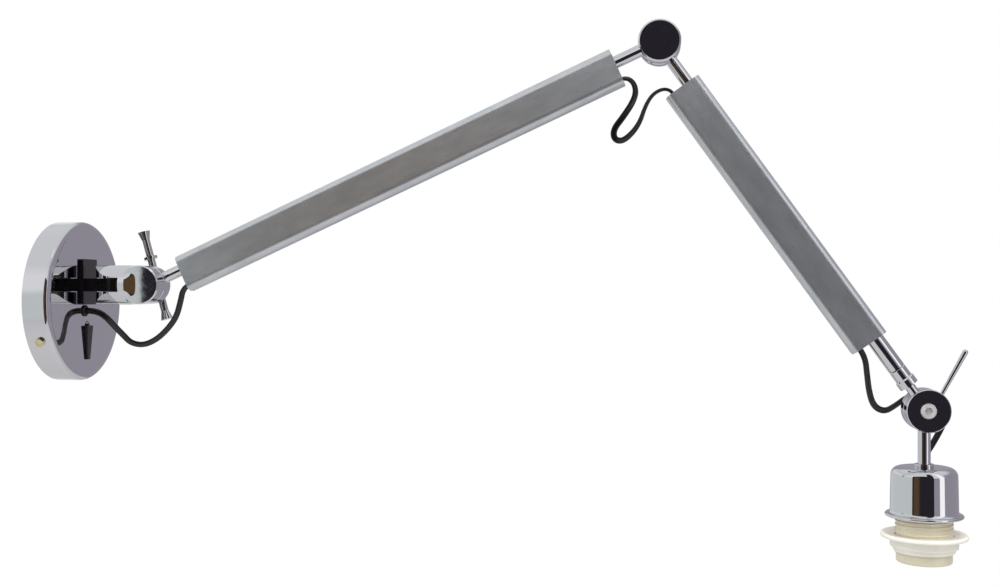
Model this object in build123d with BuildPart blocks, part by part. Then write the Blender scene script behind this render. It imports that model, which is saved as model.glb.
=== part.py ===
from build123d import *

import os
from math import atan2, cos, degrees, hypot, pi, radians, sin, tan

# Articulating wall lamp. Millimetres. The wall is the plane X = 0, +X points out of the wall and
# +Z up. The origin is the centre of the canopy's wall face. The arms lie in planes parallel to XZ.

# --- Wall canopy, bracket and what they hold ---
canopy_dia = 118.0
canopy_depth = 19.5
canopy_wall = 1.5
round_in = 5.0  # the rounded front edge reaches this far in towards the axis
round_deep = 3.5  # and this far back towards the wall
side_screw_angle = 29.0  # both side screws lie on one diameter, this far from horizontal
side_screw_x = 9.9
side_screw_dia = 4.0
side_head_dia = 6.6
side_head_h = 1.9
side_cross_deep = 0.9
side_cross_part = 0.7  # cross length over head diameter
bracket_w = 20.0
bracket_t = 2.0
bracket_ear_h = 13.0
bracket_gap = 0.5  # between the bracket's ears and the canopy's inner wall
wall_hole_pcd = 84.0
wall_hole_dia = 5.2
supply_hole_dia = 9.0
supply_hole_at = 15.0
block_w = 20.0
block_l = 14.0
block_h = 10.0
block_at = 21.0  # along the bracket, from its centre
terminal_dia = 4.0
terminal_pitch = 6.0
terminal_sink = 0.8  # screw heads below the block's face
slot_cut_w = 0.7  # screwdriver slots
slot_cut_deep = 0.7
corner = 1.0  # rounded corners of plates and plastic cases

# --- Toggle switch ---
switch_w = 13.0
switch_l = 21.0
switch_h = 11.5
switch_drop = 4.0  # the case's middle below its bush
bush_dia = 6.0
bush_wall = 0.7
lever_z = -18.4  # top edge of the lever
lever_len = 25.2
lever_pivot_rise = 0.5  # from the lever's top edge up to its stalk's axis
lever_pivot_in = 1.5  # pivot behind the canopy's sheet
lever_top_w = 9.4
lever_end_w = 4.2
lever_top_t = 2.6
lever_end_t = 1.5
lever_gap = 0.15  # between the lever's back and the canopy
lever_round = 0.6
lever_stalk_dia = 2.2
stalk_in = 1.0  # lever's stalk behind its pivot
stalk_play = 0.2
pivot_dia = 1.6
pivot_len = 6.0

# --- Lead, a flat twin core drawn as a round tube of equal section ---
lead_dia = 4.0
lead_play = 0.1  # radial, in grommets and plugs
wire_dia = 2.2
wire_step = 4.0
wire_straight = 7.0
grommet_dia = 6.2
grommet_lip_dia = 8.4
grommet_lip = 1.4
grommet_edge = 0.4
lead_exit_y = -4.0
lead_exit_z = -7.2
lead_straight = 6.0  # straight run into a plug or a grommet
elbow_straight = 4.2
neck_straight = 7.0
arc_part = 0.45  # share of a run that one arc may take up
lead_above_bracket = 5.0
wire_above_bracket = 6.0

# --- Hinge at the wall ---
hinge_z = 12.0
pivot_out = 21.7  # swivel axis in front of the canopy's face
strap_w = 22.0
strap_t = 2.4
strap_skin = 0.8  # left in front of the foot screws
strap_low = -2.6
strap_high = 31.2
foot_screw_dia = 4.0
foot_head_dia = 7.0
foot_head_h = 2.4
foot_screw_step = 23.0
tongue_t = 9.6
tongue_r = 8.2
pin_dia = 6.0
pin_sink = 0.2  # pin's ends below the barrel's surface
barrel_dia = 29.5
ear_r = 13.3
ear_flat = 26.5
ear_flat_short = 3.5  # the ears' flats end this far before the slot's bottom
slot_h = 10.6
slot_tip_gap = 0.4
slot_wall = 1.2  # left between the slot's bottom and the arm's eye
washer_play = 0.1
washer_in = 1.2  # washers end this far inside the drums' rims
running = 0.05  # radial clearance of a running fit
seat = 0.03  # radial clearance of a fixed fit
face_gap = 0.1  # between two faces that meet end to end
blind_spare = 0.4  # depth of a blind hole beyond its screw

# --- Tilt knuckle and its clamp screw ---
knuckle_dia = 28.6
knuckle_half = 12.3  # from the arm's parting plane to the near face
parting = 0.3  # half the gap between knuckle and eye, filled by a washer
eye_gap = 0.35
bevel = 0.9
loft_len = 9.0
loft_step = 0.2  # step from the barrel's transition up to the knuckle
block_len = 2.0  # square part of the knuckle, from its axis
block_round = 2.0
clamp_dia = 8.0
clamp_depth = 8.6
clamp_collar_dia = 15.0
clamp_collar_t = 1.6
clamp_head_dia = 12.4
clamp_head_edge = 1.6
clamp_head_out = 5.2  # head beyond the tommy bar's axis
bar_out = 9.6  # tommy bar's axis behind the eye
bar_dia = 5.7
bar_flare_dia = 9.2
bar_flare_len = 6.6
bar_up = 42.0
bar_down = 27.0
bar_lean = 15.6  # degrees from vertical, top towards the wall
bar_ring_dia = 10.0
bar_ring_t = 2.0
bar_ring_at = 21.4
ferrule_len = 9.0
ferrule_pin_dia = 2.8
ferrule_pin_root = 1.0  # pin's root inside the bar

# --- Arms ---
tilt_x = 65.5
elbow_x = 444.2
elbow_z = 184.5
head_x = 629.9
head_z = -76.3
rod_dia = 8.8
rod_in = 6.6  # rod inside a drum
tube_h = 27.8
tube_w = 16.0
tube_wall = 1.3
tube_round = 5.0
plug_len = 14.0
plug_in = 0.5
rod_short = 2.0  # rods end this far before their plug's inner end
lower_tube_from = 28.8
lower_tube_to = 381.4
lower_rod_above = 4.0  # rod's axis above the tube's
upper_tube_from = 34.8
upper_tube_to = 258.4
upper_rod_above = 5.0
lead_below = 12.7  # lead's axis below the rod's, in the tubes

# --- Elbow and head drums ---
drum_dia = 30.4
drum_half = 10.2
drum_gap = 0.4
drum_washer_t = 0.3
elbow_bevel = 1.2
head_bevel = 0.6
elbow_bolt_dia = 6.0
elbow_head_dia = 10.0
elbow_head_h = 4.0
elbow_head_sink = 0.3
head_play = 0.3  # around a sunk screw head
head_bolt_dia = 6.0
head_cap_dia = 11.2
head_cap_h = 3.0
head_cap_sink = 0.4
socket_flats = 5.0
socket_deep = 2.2
bolt_end = 1.8  # metal left under a blind bolt hole

# --- Neck swivel ---
sleeve_dia = 12.0
sleeve_in = 19.0
sleeve_out = 25.8
spindle_dia = 7.2
collar_len = 14.2
collar_flare_dia = 13.8
collar_flare_at = 8.0
collar_flare_len = 5.2
collar_step = 1.0  # length of the cone up to the flare
groove = 0.5
clip_dia = 10.6
clip_t = 0.9
clip_groove = 0.6
spindle_out = 3.0  # spindle beyond the sleeve's inner end

# --- Locking lever ---
lock_angle = 61.9
lock_aside = 3.0  # the lever passes this far to one side of the joint's axis
lock_reach = 50.0
lock_base_dia = 3.0
lock_tip_dia = 4.0
lock_gap = 0.4
lock_cone_from = 15.7
lock_tip_round = 1.8

# --- Stem, cup and lampholder ---
stem_dia = 8.8
nut_dia = 13.2
nut_h = 2.2
inner_nut_h = 3.0
cup_top = -117.0
cup_h = 35.0
cup_top_dia = 45.4
cup_low_dia = 46.4
cup_wall = 1.2
cup_round = 6.0
flange_dia = 53.4
flange_t = 2.2
flange_fillet = 2.6
rim_round = 1.0
cup_lead_x = 3.4  # lead hole in the cup's top, from the stem's axis
cup_lead_y = 11.2
cap_dia = 38.0
cap_h = 9.0
stem_in = 5.4  # stem inside the lampholder's cap
cap_edge = 2.5
holder_low = -184.0
holder_root_dia = 38.1
thread_depth = 0.7
thread_pitch = 2.8
thread_start = 1.0  # plain length before a thread's first ridge
ridge_marks = (0.10, 0.35, 0.60, 0.85)  # root, crest, crest, root over one pitch
holder_bore_dia = 31.0
lip_h = 3.4
lip_dia = 38.2
lip_edge = 1.2
mouth_dia = 29.6
insert_t = 7.0
shell_dia = 27.6
shell_wall = 0.5
shell_len = 21.0
shell_above_lip = 2.0
shell_pitch = 3.6
shell_depth = 0.6
contact_w = 6.0
contact_t = 0.8
contact_rise = 3.0
contact_room_dia = 18.0  # recess in the insert around the centre contact
ring_top = -163.8
ring_dia = 59.4
ring_rim = 3.0
ring_edge = 0.7
ring_dish = 1.2
ring_hub_dia = 46.4
ring_hub_h = 6.8
ring_taper_h = 3.0
ring_end_dia = 41.6
ring_play = 0.3

# --- Worked-out places ---
face_x = canopy_depth
canopy_r = canopy_dia / 2
pivot_x = face_x + pivot_out
barrel_r = barrel_dia / 2
near_y = -knuckle_half
eye_near = eye_gap - 0.05
eye_far = knuckle_half + 0.2
lower_y = (eye_near + eye_far) / 2
elbow_near_y = lower_y - drum_half / 2
elbow_far_y = elbow_near_y + drum_half + drum_gap
upper_y = elbow_far_y + drum_half / 2
head_near_y = upper_y - drum_half / 2
head_far_y = head_near_y + drum_half + drum_gap
stem_y = head_far_y + drum_half / 2
drum_r = drum_dia / 2
tilt_at = (tilt_x, hinge_z)
elbow_at = (elbow_x, elbow_z)
head_at = (head_x, head_z)


def run(start, end):
    """Length and angle in degrees of the line between two (x, z) points."""
    dx = end[0] - start[0]
    dz = end[1] - start[1]
    return hypot(dx, dz), degrees(atan2(dz, dx))


lower_len, lower_angle = run(tilt_at, elbow_at)
upper_len, upper_angle = run(elbow_at, head_at)


def arm_plane(at, y, angle, along):
    """Plane across an arm: its x is row +Y, its y is the arm's upper side, its z runs along it."""
    ux = cos(radians(angle))
    uz = sin(radians(angle))
    origin = (at[0] + along * ux, y, at[1] + along * uz)
    return Plane(origin=origin, x_dir=(0, 1, 0), z_dir=(ux, 0, uz))


def lower(along):
    return arm_plane(tilt_at, lower_y, lower_angle, along)


def upper(along):
    return arm_plane(elbow_at, upper_y, upper_angle, along)


def arm_point(plane, side, up):
    """Row point of a place on an arm plane."""
    return tuple(plane.from_local_coords(Vector(side, up, 0)))


def across(at, y):
    """Plane whose z is row +Y, for drums and screws that run across the arms."""
    return Plane(origin=(at[0], y, at[1]), x_dir=(1, 0, 0), z_dir=(0, 1, 0))


def disc(plane, radius, thick, edge):
    """A round slab across the arms, with both of its outer edges bevelled."""
    with BuildPart() as made:
        with BuildSketch(plane):
            Circle(radius)
        extrude(amount=thick)
        chamfer(made.edges().filter_by(GeomType.CIRCLE), length=edge)
    return made


# ---------------------------------------------------------------- canopy and bracket

bracket_dir = Vector(0, cos(radians(side_screw_angle)), sin(radians(side_screw_angle)))
inner_r = canopy_r - canopy_wall
switch_z = lever_z + lever_pivot_rise
case_z = switch_z - switch_drop
foot_screw_z = (strap_low + strap_high) / 2


def radial_plane(sign, radius):
    """Plane facing outwards from the canopy's axis at a side screw."""
    out = bracket_dir * sign
    origin = out * radius + Vector(side_screw_x, 0, 0)
    return Plane(origin=origin, x_dir=(1, 0, 0), z_dir=out)


with BuildPart() as canopy:
    with BuildSketch():
        with BuildLine():
            bend = (canopy_depth - round_deep, canopy_r - round_in)
            Line((0, canopy_r), (bend[0], canopy_r))
            EllipticalCenterArc(bend, round_deep, round_in, 0, arc_size=90)
            Line((canopy_depth, bend[1]), (canopy_depth, 0))
            Line((canopy_depth, 0), (canopy_depth - canopy_wall, 0))
            Line((canopy_depth - canopy_wall, 0), (canopy_depth - canopy_wall, bend[1]))
            EllipticalCenterArc(bend, round_deep - canopy_wall, round_in - canopy_wall, 0, arc_size=90)
            Line((bend[0], inner_r), (0, inner_r))
            Line((0, inner_r), (0, canopy_r))
        make_face()
    revolve(axis=Axis.X)
    with BuildSketch(Plane.YZ.offset(face_x)):
        with Locations((0, foot_screw_z - foot_screw_step / 2), (0, foot_screw_z + foot_screw_step / 2)):
            Circle(foot_screw_dia / 2 + seat)
        with Locations((lead_exit_y, lead_exit_z)):
            Circle(grommet_dia / 2)
        with Locations((0, switch_z)):
            Circle(bush_dia / 2)
    extrude(amount=-2 * canopy_wall, mode=Mode.SUBTRACT)
    for sign in (-1, 1):
        with BuildSketch(radial_plane(sign, inner_r - 1)):
            Circle(side_screw_dia / 2 + seat)
        extrude(amount=canopy_wall + 2, mode=Mode.SUBTRACT)
canopy.part.label = "canopy"

bracket_plane = Plane(origin=(0, 0, 0), x_dir=bracket_dir, z_dir=(1, 0, 0))
ear_out = inner_r - bracket_gap

with BuildPart() as wall_bracket:
    with BuildSketch(bracket_plane):
        Rectangle(2 * ear_out, bracket_w)
        with PolarLocations(wall_hole_pcd / 2, 2):
            Circle(wall_hole_dia / 2, mode=Mode.SUBTRACT)
        with Locations((-supply_hole_at, 0)):
            Circle(supply_hole_dia / 2, mode=Mode.SUBTRACT)
    extrude(amount=bracket_t)
    with BuildSketch(bracket_plane):
        with Locations((-ear_out + bracket_t / 2, 0), (ear_out - bracket_t / 2, 0)):
            Rectangle(bracket_t, bracket_w)
    extrude(amount=bracket_ear_h)
    with BuildSketch(bracket_plane):
        Circle(ear_out)
    extrude(amount=bracket_ear_h, mode=Mode.INTERSECT)
    for sign in (-1, 1):
        with BuildSketch(radial_plane(sign, ear_out - 2 * bracket_t)):
            Circle(side_screw_dia / 2 + seat)
        extrude(amount=3 * bracket_t, mode=Mode.SUBTRACT)
wall_bracket.part.label = "wall_bracket"

with BuildPart() as canopy_screws:
    for sign in (-1, 1):
        with BuildSketch(radial_plane(sign, ear_out - 2 * bracket_t)):
            Circle(side_screw_dia / 2)
        extrude(amount=canopy_r + side_head_h / 2 - ear_out + 2 * bracket_t)
        with BuildSketch(radial_plane(sign, canopy_r + seat)):
            Circle(side_head_dia / 2)
        extrude(amount=side_head_h)
        with BuildSketch(radial_plane(sign, canopy_r + side_head_h)):
            Rectangle(side_head_dia * side_cross_part, slot_cut_w)
            Rectangle(slot_cut_w, side_head_dia * side_cross_part)
        extrude(amount=-side_cross_deep, mode=Mode.SUBTRACT)
canopy_screws.part.label = "canopy_screws"

block_mid = bracket_dir * block_at
block_plane = Plane(origin=(bracket_t, block_mid.Y, block_mid.Z), x_dir=(0, 1, 0), z_dir=(1, 0, 0))

with BuildPart() as terminal_block:
    with BuildSketch(block_plane):
        RectangleRounded(block_w, block_l, corner)
    extrude(amount=block_h)
    with BuildSketch(block_plane.offset(block_h)):
        with GridLocations(terminal_pitch, 0, 3, 1):
            Circle(terminal_dia / 2 + seat)
    extrude(amount=-block_h / 2, mode=Mode.SUBTRACT)
terminal_block.part.label = "terminal_block"

with BuildPart() as terminal_screws:
    with BuildSketch(block_plane.offset(block_h / 2)):
        with GridLocations(terminal_pitch, 0, 3, 1):
            Circle(terminal_dia / 2)
    extrude(amount=block_h / 2 - terminal_sink)
    with BuildSketch(block_plane.offset(block_h - terminal_sink)):
        with GridLocations(terminal_pitch, 0, 3, 1):
            Rectangle(terminal_dia, slot_cut_w)
    extrude(amount=-slot_cut_deep, mode=Mode.SUBTRACT)
terminal_screws.part.label = "terminal_screws"

# ---------------------------------------------------------------- toggle switch

switch_top = face_x - canopy_wall
lever_pivot_x = switch_top - lever_pivot_in
lever_back = face_x + lever_gap

with BuildPart() as switch_body:
    with BuildSketch(Plane.YZ.offset(switch_top - switch_h)):
        with Locations((0, case_z)):
            RectangleRounded(switch_w, switch_l, corner)
    extrude(amount=switch_h)
    with BuildSketch(Plane.YZ.offset(switch_top)):
        with Locations((0, switch_z)):
            Circle(bush_dia / 2 - seat)
    extrude(amount=canopy_wall)
    with BuildSketch(Plane.YZ.offset(switch_top - switch_h / 2)):
        with Locations((0, switch_z)):
            Rectangle(lever_stalk_dia + 2 * stalk_play, bush_dia - 2 * bush_wall)
    extrude(amount=switch_h, mode=Mode.SUBTRACT)
    with BuildSketch(across((lever_pivot_x, switch_z), -pivot_len / 2 - running)):
        Circle(pivot_dia / 2 + running)
    extrude(amount=pivot_len + 2 * running, mode=Mode.SUBTRACT)
switch_body.part.label = "switch_body"

with BuildPart() as switch_lever:
    with BuildSketch(Plane.XY.offset(lever_z)):
        with Locations((lever_back + lever_top_t / 2, 0)):
            RectangleRounded(lever_top_t, lever_top_w, lever_round)
    with BuildSketch(Plane.XY.offset(lever_z - lever_len)):
        with Locations((lever_back + lever_end_t / 2, 0)):
            RectangleRounded(lever_end_t, lever_end_w, lever_round)
    loft()
    with BuildSketch(Plane.YZ.offset(lever_pivot_x - stalk_in)):
        with Locations((0, switch_z)):
            Circle(lever_stalk_dia / 2)
    extrude(amount=lever_back + lever_top_t / 2 - lever_pivot_x + stalk_in)
    with BuildSketch(across((lever_pivot_x, switch_z), -pivot_len / 2)):
        Circle(pivot_dia / 2)
    extrude(amount=pivot_len)
switch_lever.part.label = "switch_lever"

# ---------------------------------------------------------------- hinge foot

with BuildPart() as hinge_foot:
    with BuildSketch(Plane.YZ.offset(face_x)):
        with Locations((0, foot_screw_z)):
            RectangleRounded(strap_w, strap_high - strap_low, corner)
    extrude(amount=strap_t)
    with BuildSketch(Plane.XY.offset(hinge_z - tongue_t / 2)):
        with Locations((pivot_x, 0)):
            Circle(tongue_r)
        with Locations(((face_x + strap_t / 2 + pivot_x) / 2, 0)):
            Rectangle(pivot_x - face_x - strap_t / 2, 2 * tongue_r)
        with Locations((pivot_x, 0)):
            Circle(pin_dia / 2 + running, mode=Mode.SUBTRACT)
    extrude(amount=tongue_t)
    with BuildSketch(Plane.YZ.offset(face_x)):
        with Locations((0, foot_screw_z - foot_screw_step / 2), (0, foot_screw_z + foot_screw_step / 2)):
            Circle(foot_screw_dia / 2 + seat)
    extrude(amount=strap_t - strap_skin, mode=Mode.SUBTRACT)
hinge_foot.part.label = "hinge_foot"

with BuildPart() as foot_screws:
    with BuildSketch(Plane.YZ.offset(switch_top - foot_head_h)):
        with Locations((0, foot_screw_z - foot_screw_step / 2), (0, foot_screw_z + foot_screw_step / 2)):
            Circle(foot_head_dia / 2)
    extrude(amount=foot_head_h)
    with BuildSketch(Plane.YZ.offset(switch_top)):
        with Locations((0, foot_screw_z - foot_screw_step / 2), (0, foot_screw_z + foot_screw_step / 2)):
            Circle(foot_screw_dia / 2)
    extrude(amount=canopy_wall + strap_t - strap_skin - face_gap)
foot_screws.part.label = "foot_screws"

# ---------------------------------------------------------------- fork barrel and hinge pin

slot_bottom = pivot_x + tongue_r + slot_tip_gap
shoulder_x = slot_bottom + slot_wall
block_from = tilt_x - block_len
ear_flat_to = slot_bottom - ear_flat_short

with BuildPart() as knuckle:
    with BuildSketch(across(tilt_at, near_y)):
        Circle(knuckle_dia / 2)
        with Locations(((block_from - tilt_x) / 2, 0)):
            Rectangle(tilt_x - block_from, knuckle_dia)
    extrude(amount=knuckle_half - parting)
    chamfer(knuckle.edges().filter_by(GeomType.CIRCLE).sort_by(Axis.Y)[0], length=bevel)
    with BuildSketch(across(tilt_at, -parting)):
        Circle(clamp_dia / 2 + running)
    extrude(amount=-(clamp_depth + blind_spare), mode=Mode.SUBTRACT)

with BuildPart() as fork_barrel:
    with BuildSketch(Plane.XY.offset(hinge_z - barrel_r)):
        with Locations((pivot_x, 0)):
            Circle(ear_r)
        with Locations(((pivot_x + ear_flat_to) / 2, 0)):
            Rectangle(ear_flat_to - pivot_x, ear_flat)
        with Locations(((ear_flat_to + block_from - loft_len) / 2, 0)):
            Rectangle(block_from - loft_len - ear_flat_to, barrel_dia)
    extrude(amount=barrel_dia)
    with BuildSketch(Plane.YZ.offset(pivot_x - ear_r)):
        with Locations((0, hinge_z)):
            Circle(barrel_r)
    extrude(amount=tilt_x - pivot_x + ear_r, mode=Mode.INTERSECT)
    with BuildSketch(Plane.YZ.offset(block_from - loft_len)):
        with Locations((0, hinge_z)):
            Circle(barrel_r)
    with BuildSketch(Plane.YZ.offset(block_from)):
        with Locations((0, hinge_z)):
            RectangleRounded(2 * (knuckle_half - loft_step), knuckle_dia - 2 * loft_step, block_round)
    loft()
    with BuildSketch(Plane.XY.offset(hinge_z - barrel_r)):
        with Locations((shoulder_x + barrel_dia, barrel_dia - parting)):
            Rectangle(2 * barrel_dia, 2 * barrel_dia)
    extrude(amount=barrel_dia, mode=Mode.SUBTRACT)
    with BuildSketch(Plane.XZ.offset(-barrel_r)):
        with Locations((slot_bottom - barrel_dia, hinge_z)):
            Rectangle(2 * barrel_dia, slot_h)
    extrude(amount=barrel_dia, mode=Mode.SUBTRACT)
    with BuildSketch(Plane.XY.offset(hinge_z - barrel_r)):
        with Locations((pivot_x, 0)):
            Circle(pin_dia / 2 + seat)
    extrude(amount=barrel_dia, mode=Mode.SUBTRACT)
    with BuildSketch(across(tilt_at, -parting)):
        Circle(clamp_dia / 2 + running)
    extrude(amount=-(clamp_depth + blind_spare), mode=Mode.SUBTRACT)
    add(knuckle.part)
fork_barrel.part.label = "fork_barrel"

pin_half = (barrel_r**2 - (pin_dia / 2) ** 2) ** 0.5 - pin_sink

with BuildPart() as hinge_pin:
    with BuildSketch(Plane.XY.offset(hinge_z - pin_half)):
        with Locations((pivot_x, 0)):
            Circle(pin_dia / 2)
    extrude(amount=2 * pin_half)
hinge_pin.part.label = "hinge_pin"

hinge_washer_t = (slot_h - tongue_t) / 2 - washer_play

with BuildPart() as hinge_washers:
    for bottom in (hinge_z - slot_h / 2, hinge_z + slot_h / 2 - hinge_washer_t):
        with BuildSketch(Plane.XY.offset(bottom)):
            with Locations((pivot_x, 0)):
                Circle(tongue_r)
                Circle(pin_dia / 2 + seat, mode=Mode.SUBTRACT)
        extrude(amount=hinge_washer_t)
hinge_washers.part.label = "hinge_washers"

with BuildPart() as tilt_washer:
    with BuildSketch(across(tilt_at, -parting)):
        Circle(knuckle_dia / 2 - washer_in)
        Circle(clamp_dia / 2 + running, mode=Mode.SUBTRACT)
    extrude(amount=parting + eye_near - washer_play / 2)
tilt_washer.part.label = "tilt_washer"

# ---------------------------------------------------------------- clamp screw and tommy bar

bar_y = eye_far + bar_out
lean = radians(bar_lean)
bar_dir = Vector(-sin(lean), 0, cos(lean))
bar_mid = Vector(tilt_x, bar_y, hinge_z)


def bar_plane(along):
    """Plane across the tommy bar, seen from the clamp screw's axis towards its upper end."""
    return Plane(origin=bar_mid + bar_dir * along, x_dir=(0, 1, 0), z_dir=bar_dir)


with BuildPart() as clamp_screw:
    with BuildSketch(across(tilt_at, -parting - clamp_depth)):
        Circle(clamp_dia / 2)
    extrude(amount=clamp_depth + parting + eye_far + clamp_collar_t)
    with BuildSketch(across(tilt_at, eye_far + face_gap)):
        Circle(clamp_collar_dia / 2)
    extrude(amount=clamp_collar_t)
    with BuildSketch(across(tilt_at, eye_far + face_gap)):
        Circle(clamp_head_dia / 2)
    extrude(amount=bar_out + clamp_head_out)
    chamfer(clamp_screw.edges().filter_by(GeomType.CIRCLE).sort_by(Axis.Y)[-1], length=clamp_head_edge)
    with BuildSketch(bar_plane(-clamp_head_dia)):
        Circle(bar_dia / 2 + 2 * running)
    extrude(amount=2 * clamp_head_dia, mode=Mode.SUBTRACT)
clamp_screw.part.label = "clamp_screw"


def flare(end, direction):
    """Trumpet-shaped bar end: a cone from the bar to its widest at the very end."""
    with BuildPart() as made:
        with BuildSketch(bar_plane(end - direction * bar_flare_len)):
            Circle(bar_dia / 2)
        with BuildSketch(bar_plane(end)):
            Circle(bar_flare_dia / 2)
        loft()
    return made


upper_flare = flare(bar_up, 1)
lower_flare = flare(-bar_down, -1)

with BuildPart() as tommy_bar:
    with BuildSketch(bar_plane(-bar_down + ferrule_len)):
        Circle(bar_dia / 2)
    extrude(amount=bar_up + bar_down - ferrule_len - bar_flare_len)
    add(upper_flare.part)
    with BuildSketch(bar_plane(bar_ring_at - bar_ring_t / 2)):
        Circle(bar_ring_dia / 2)
    extrude(amount=bar_ring_t)
    with BuildSketch(bar_plane(-bar_down + ferrule_len / 2)):
        Circle(ferrule_pin_dia / 2)
    extrude(amount=ferrule_len / 2 + ferrule_pin_root)
tommy_bar.part.label = "tommy_bar"

with BuildPart() as tommy_ferrule:
    with BuildSketch(bar_plane(-bar_down + bar_flare_len)):
        Circle(bar_dia / 2)
    extrude(amount=ferrule_len - bar_flare_len)
    add(lower_flare.part)
    with BuildSketch(bar_plane(-bar_down + ferrule_len)):
        Circle(ferrule_pin_dia / 2 + seat)
    extrude(amount=-ferrule_len / 2 - pin_sink, mode=Mode.SUBTRACT)
tommy_ferrule.part.label = "tommy_ferrule"

# ---------------------------------------------------------------- lower arm

eye_r = knuckle_dia / 2 - face_gap
eye = disc(across(tilt_at, eye_near), eye_r, eye_far - eye_near, bevel)

with BuildPart() as tilt_eye:
    add(eye.part)
    with BuildSketch(across(tilt_at, eye_near)):
        Circle(clamp_dia / 2 + 2 * running)
    extrude(amount=eye_far, mode=Mode.SUBTRACT)
    with BuildSketch(lower(eye_r - rod_in)):
        Circle(rod_dia / 2 + seat)
    extrude(amount=2 * rod_in, mode=Mode.SUBTRACT)
tilt_eye.part.label = "tilt_eye"


def bar_between(plane_of, start, end, dia):
    """A plain round bar along an arm, between two distances from its joint."""
    with BuildPart() as made:
        with BuildSketch(plane_of(start)):
            Circle(dia / 2)
        extrude(amount=end - start)
    return made


def tube_between(plane_of, start, end, above):
    """A flat-sided tube along an arm, whose axis lies below the rods' axis."""
    with BuildPart() as made:
        with BuildSketch(plane_of(start)):
            with Locations((0, -above)):
                RectangleRounded(tube_w, tube_h, tube_round)
                RectangleRounded(
                    tube_w - 2 * tube_wall,
                    tube_h - 2 * tube_wall,
                    tube_round - tube_wall,
                    mode=Mode.SUBTRACT,
                )
        extrude(amount=end - start)
    return made


def plug_between(plane_of, start, end, above, bore):
    """A plug that fills a tube's end, with a bore for the rod and one for the lead."""
    with BuildPart() as made:
        with BuildSketch(plane_of(start)):
            with Locations((0, -above)):
                RectangleRounded(
                    tube_w - 2 * tube_wall - 2 * seat,
                    tube_h - 2 * tube_wall - 2 * seat,
                    tube_round - tube_wall,
                )
            Circle(bore / 2 + seat, mode=Mode.SUBTRACT)
            with Locations((0, -lead_below)):
                Circle(lead_dia / 2 + lead_play, mode=Mode.SUBTRACT)
        extrude(amount=end - start)
    return made


def lead_between(plane_of, start, end):
    """The stretch of lead inside a tube, face to face with the free stretches."""
    with BuildPart() as made:
        with BuildSketch(plane_of(start)):
            with Locations((0, -lead_below)):
                Circle(lead_dia / 2)
        extrude(amount=end - start)
    return made


root_plug_from = lower_tube_from + plug_in
tip_plug_to = lower_tube_to - plug_in
elbow_rod_to = lower_len - drum_r + rod_in

lower_root_rod = bar_between(
    lower, eye_r - rod_in + face_gap, root_plug_from + plug_len - rod_short, rod_dia
)
lower_root_rod.part.label = "lower_root_rod"
lower_tube = tube_between(lower, lower_tube_from, lower_tube_to, lower_rod_above)
lower_tube.part.label = "lower_tube"
lower_root_plug = plug_between(
    lower, root_plug_from, root_plug_from + plug_len, lower_rod_above, rod_dia
)
lower_root_plug.part.label = "lower_root_plug"
lower_tip_plug = plug_between(lower, tip_plug_to - plug_len, tip_plug_to, lower_rod_above, rod_dia)
lower_tip_plug.part.label = "lower_tip_plug"
lower_tip_rod = bar_between(
    lower, tip_plug_to - plug_len + rod_short, elbow_rod_to - face_gap, rod_dia
)
lower_tip_rod.part.label = "lower_tip_rod"
lower_tube_lead = lead_between(lower, root_plug_from, tip_plug_to)
lower_tube_lead.part.label = "lower_tube_lead"

# ---------------------------------------------------------------- elbow

elbow_near_disc = disc(across(elbow_at, elbow_near_y), drum_r, drum_half, elbow_bevel)
elbow_far_disc = disc(across(elbow_at, elbow_far_y), drum_r, drum_half, elbow_bevel)
elbow_bolt_from = elbow_near_y + bolt_end + blind_spare

with BuildPart() as elbow_near_half:
    add(elbow_near_disc.part)
    with BuildSketch(lower(elbow_rod_to)):
        Circle(rod_dia / 2 + seat)
    extrude(amount=-2 * rod_in, mode=Mode.SUBTRACT)
    with BuildSketch(across(elbow_at, elbow_near_y + drum_half)):
        Circle(elbow_bolt_dia / 2 + seat)
    extrude(amount=-(drum_half - bolt_end), mode=Mode.SUBTRACT)
elbow_near_half.part.label = "elbow_near_half"

with BuildPart() as elbow_far_half:
    add(elbow_far_disc.part)
    with BuildSketch(upper(drum_r - rod_in)):
        Circle(rod_dia / 2 + seat)
    extrude(amount=2 * rod_in, mode=Mode.SUBTRACT)
    with BuildSketch(across(elbow_at, elbow_far_y)):
        Circle(elbow_bolt_dia / 2 + running)
    extrude(amount=drum_half, mode=Mode.SUBTRACT)
    with BuildSketch(across(elbow_at, elbow_far_y + drum_half)):
        Circle(elbow_head_dia / 2 + head_play)
    extrude(amount=-elbow_head_h - elbow_head_sink, mode=Mode.SUBTRACT)
elbow_far_half.part.label = "elbow_far_half"

with BuildPart() as elbow_bolt:
    with BuildSketch(across(elbow_at, elbow_bolt_from)):
        Circle(elbow_bolt_dia / 2)
    extrude(amount=elbow_far_y + drum_half - elbow_head_h - elbow_bolt_from)
    with BuildSketch(across(elbow_at, elbow_far_y + drum_half - elbow_head_h - elbow_head_sink)):
        Circle(elbow_head_dia / 2)
    extrude(amount=elbow_head_h)
    with BuildSketch(across(elbow_at, elbow_far_y + drum_half - elbow_head_sink)):
        RegularPolygon(socket_flats / 2, 6, major_radius=False)
    extrude(amount=-socket_deep, mode=Mode.SUBTRACT)
elbow_bolt.part.label = "elbow_bolt"

with BuildPart() as elbow_washer:
    with BuildSketch(across(elbow_at, elbow_near_y + drum_half)):
        Circle(drum_r - washer_in)
        Circle(elbow_bolt_dia / 2 + seat, mode=Mode.SUBTRACT)
    extrude(amount=drum_washer_t)
elbow_washer.part.label = "elbow_washer"

# ---------------------------------------------------------------- upper arm and neck

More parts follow.
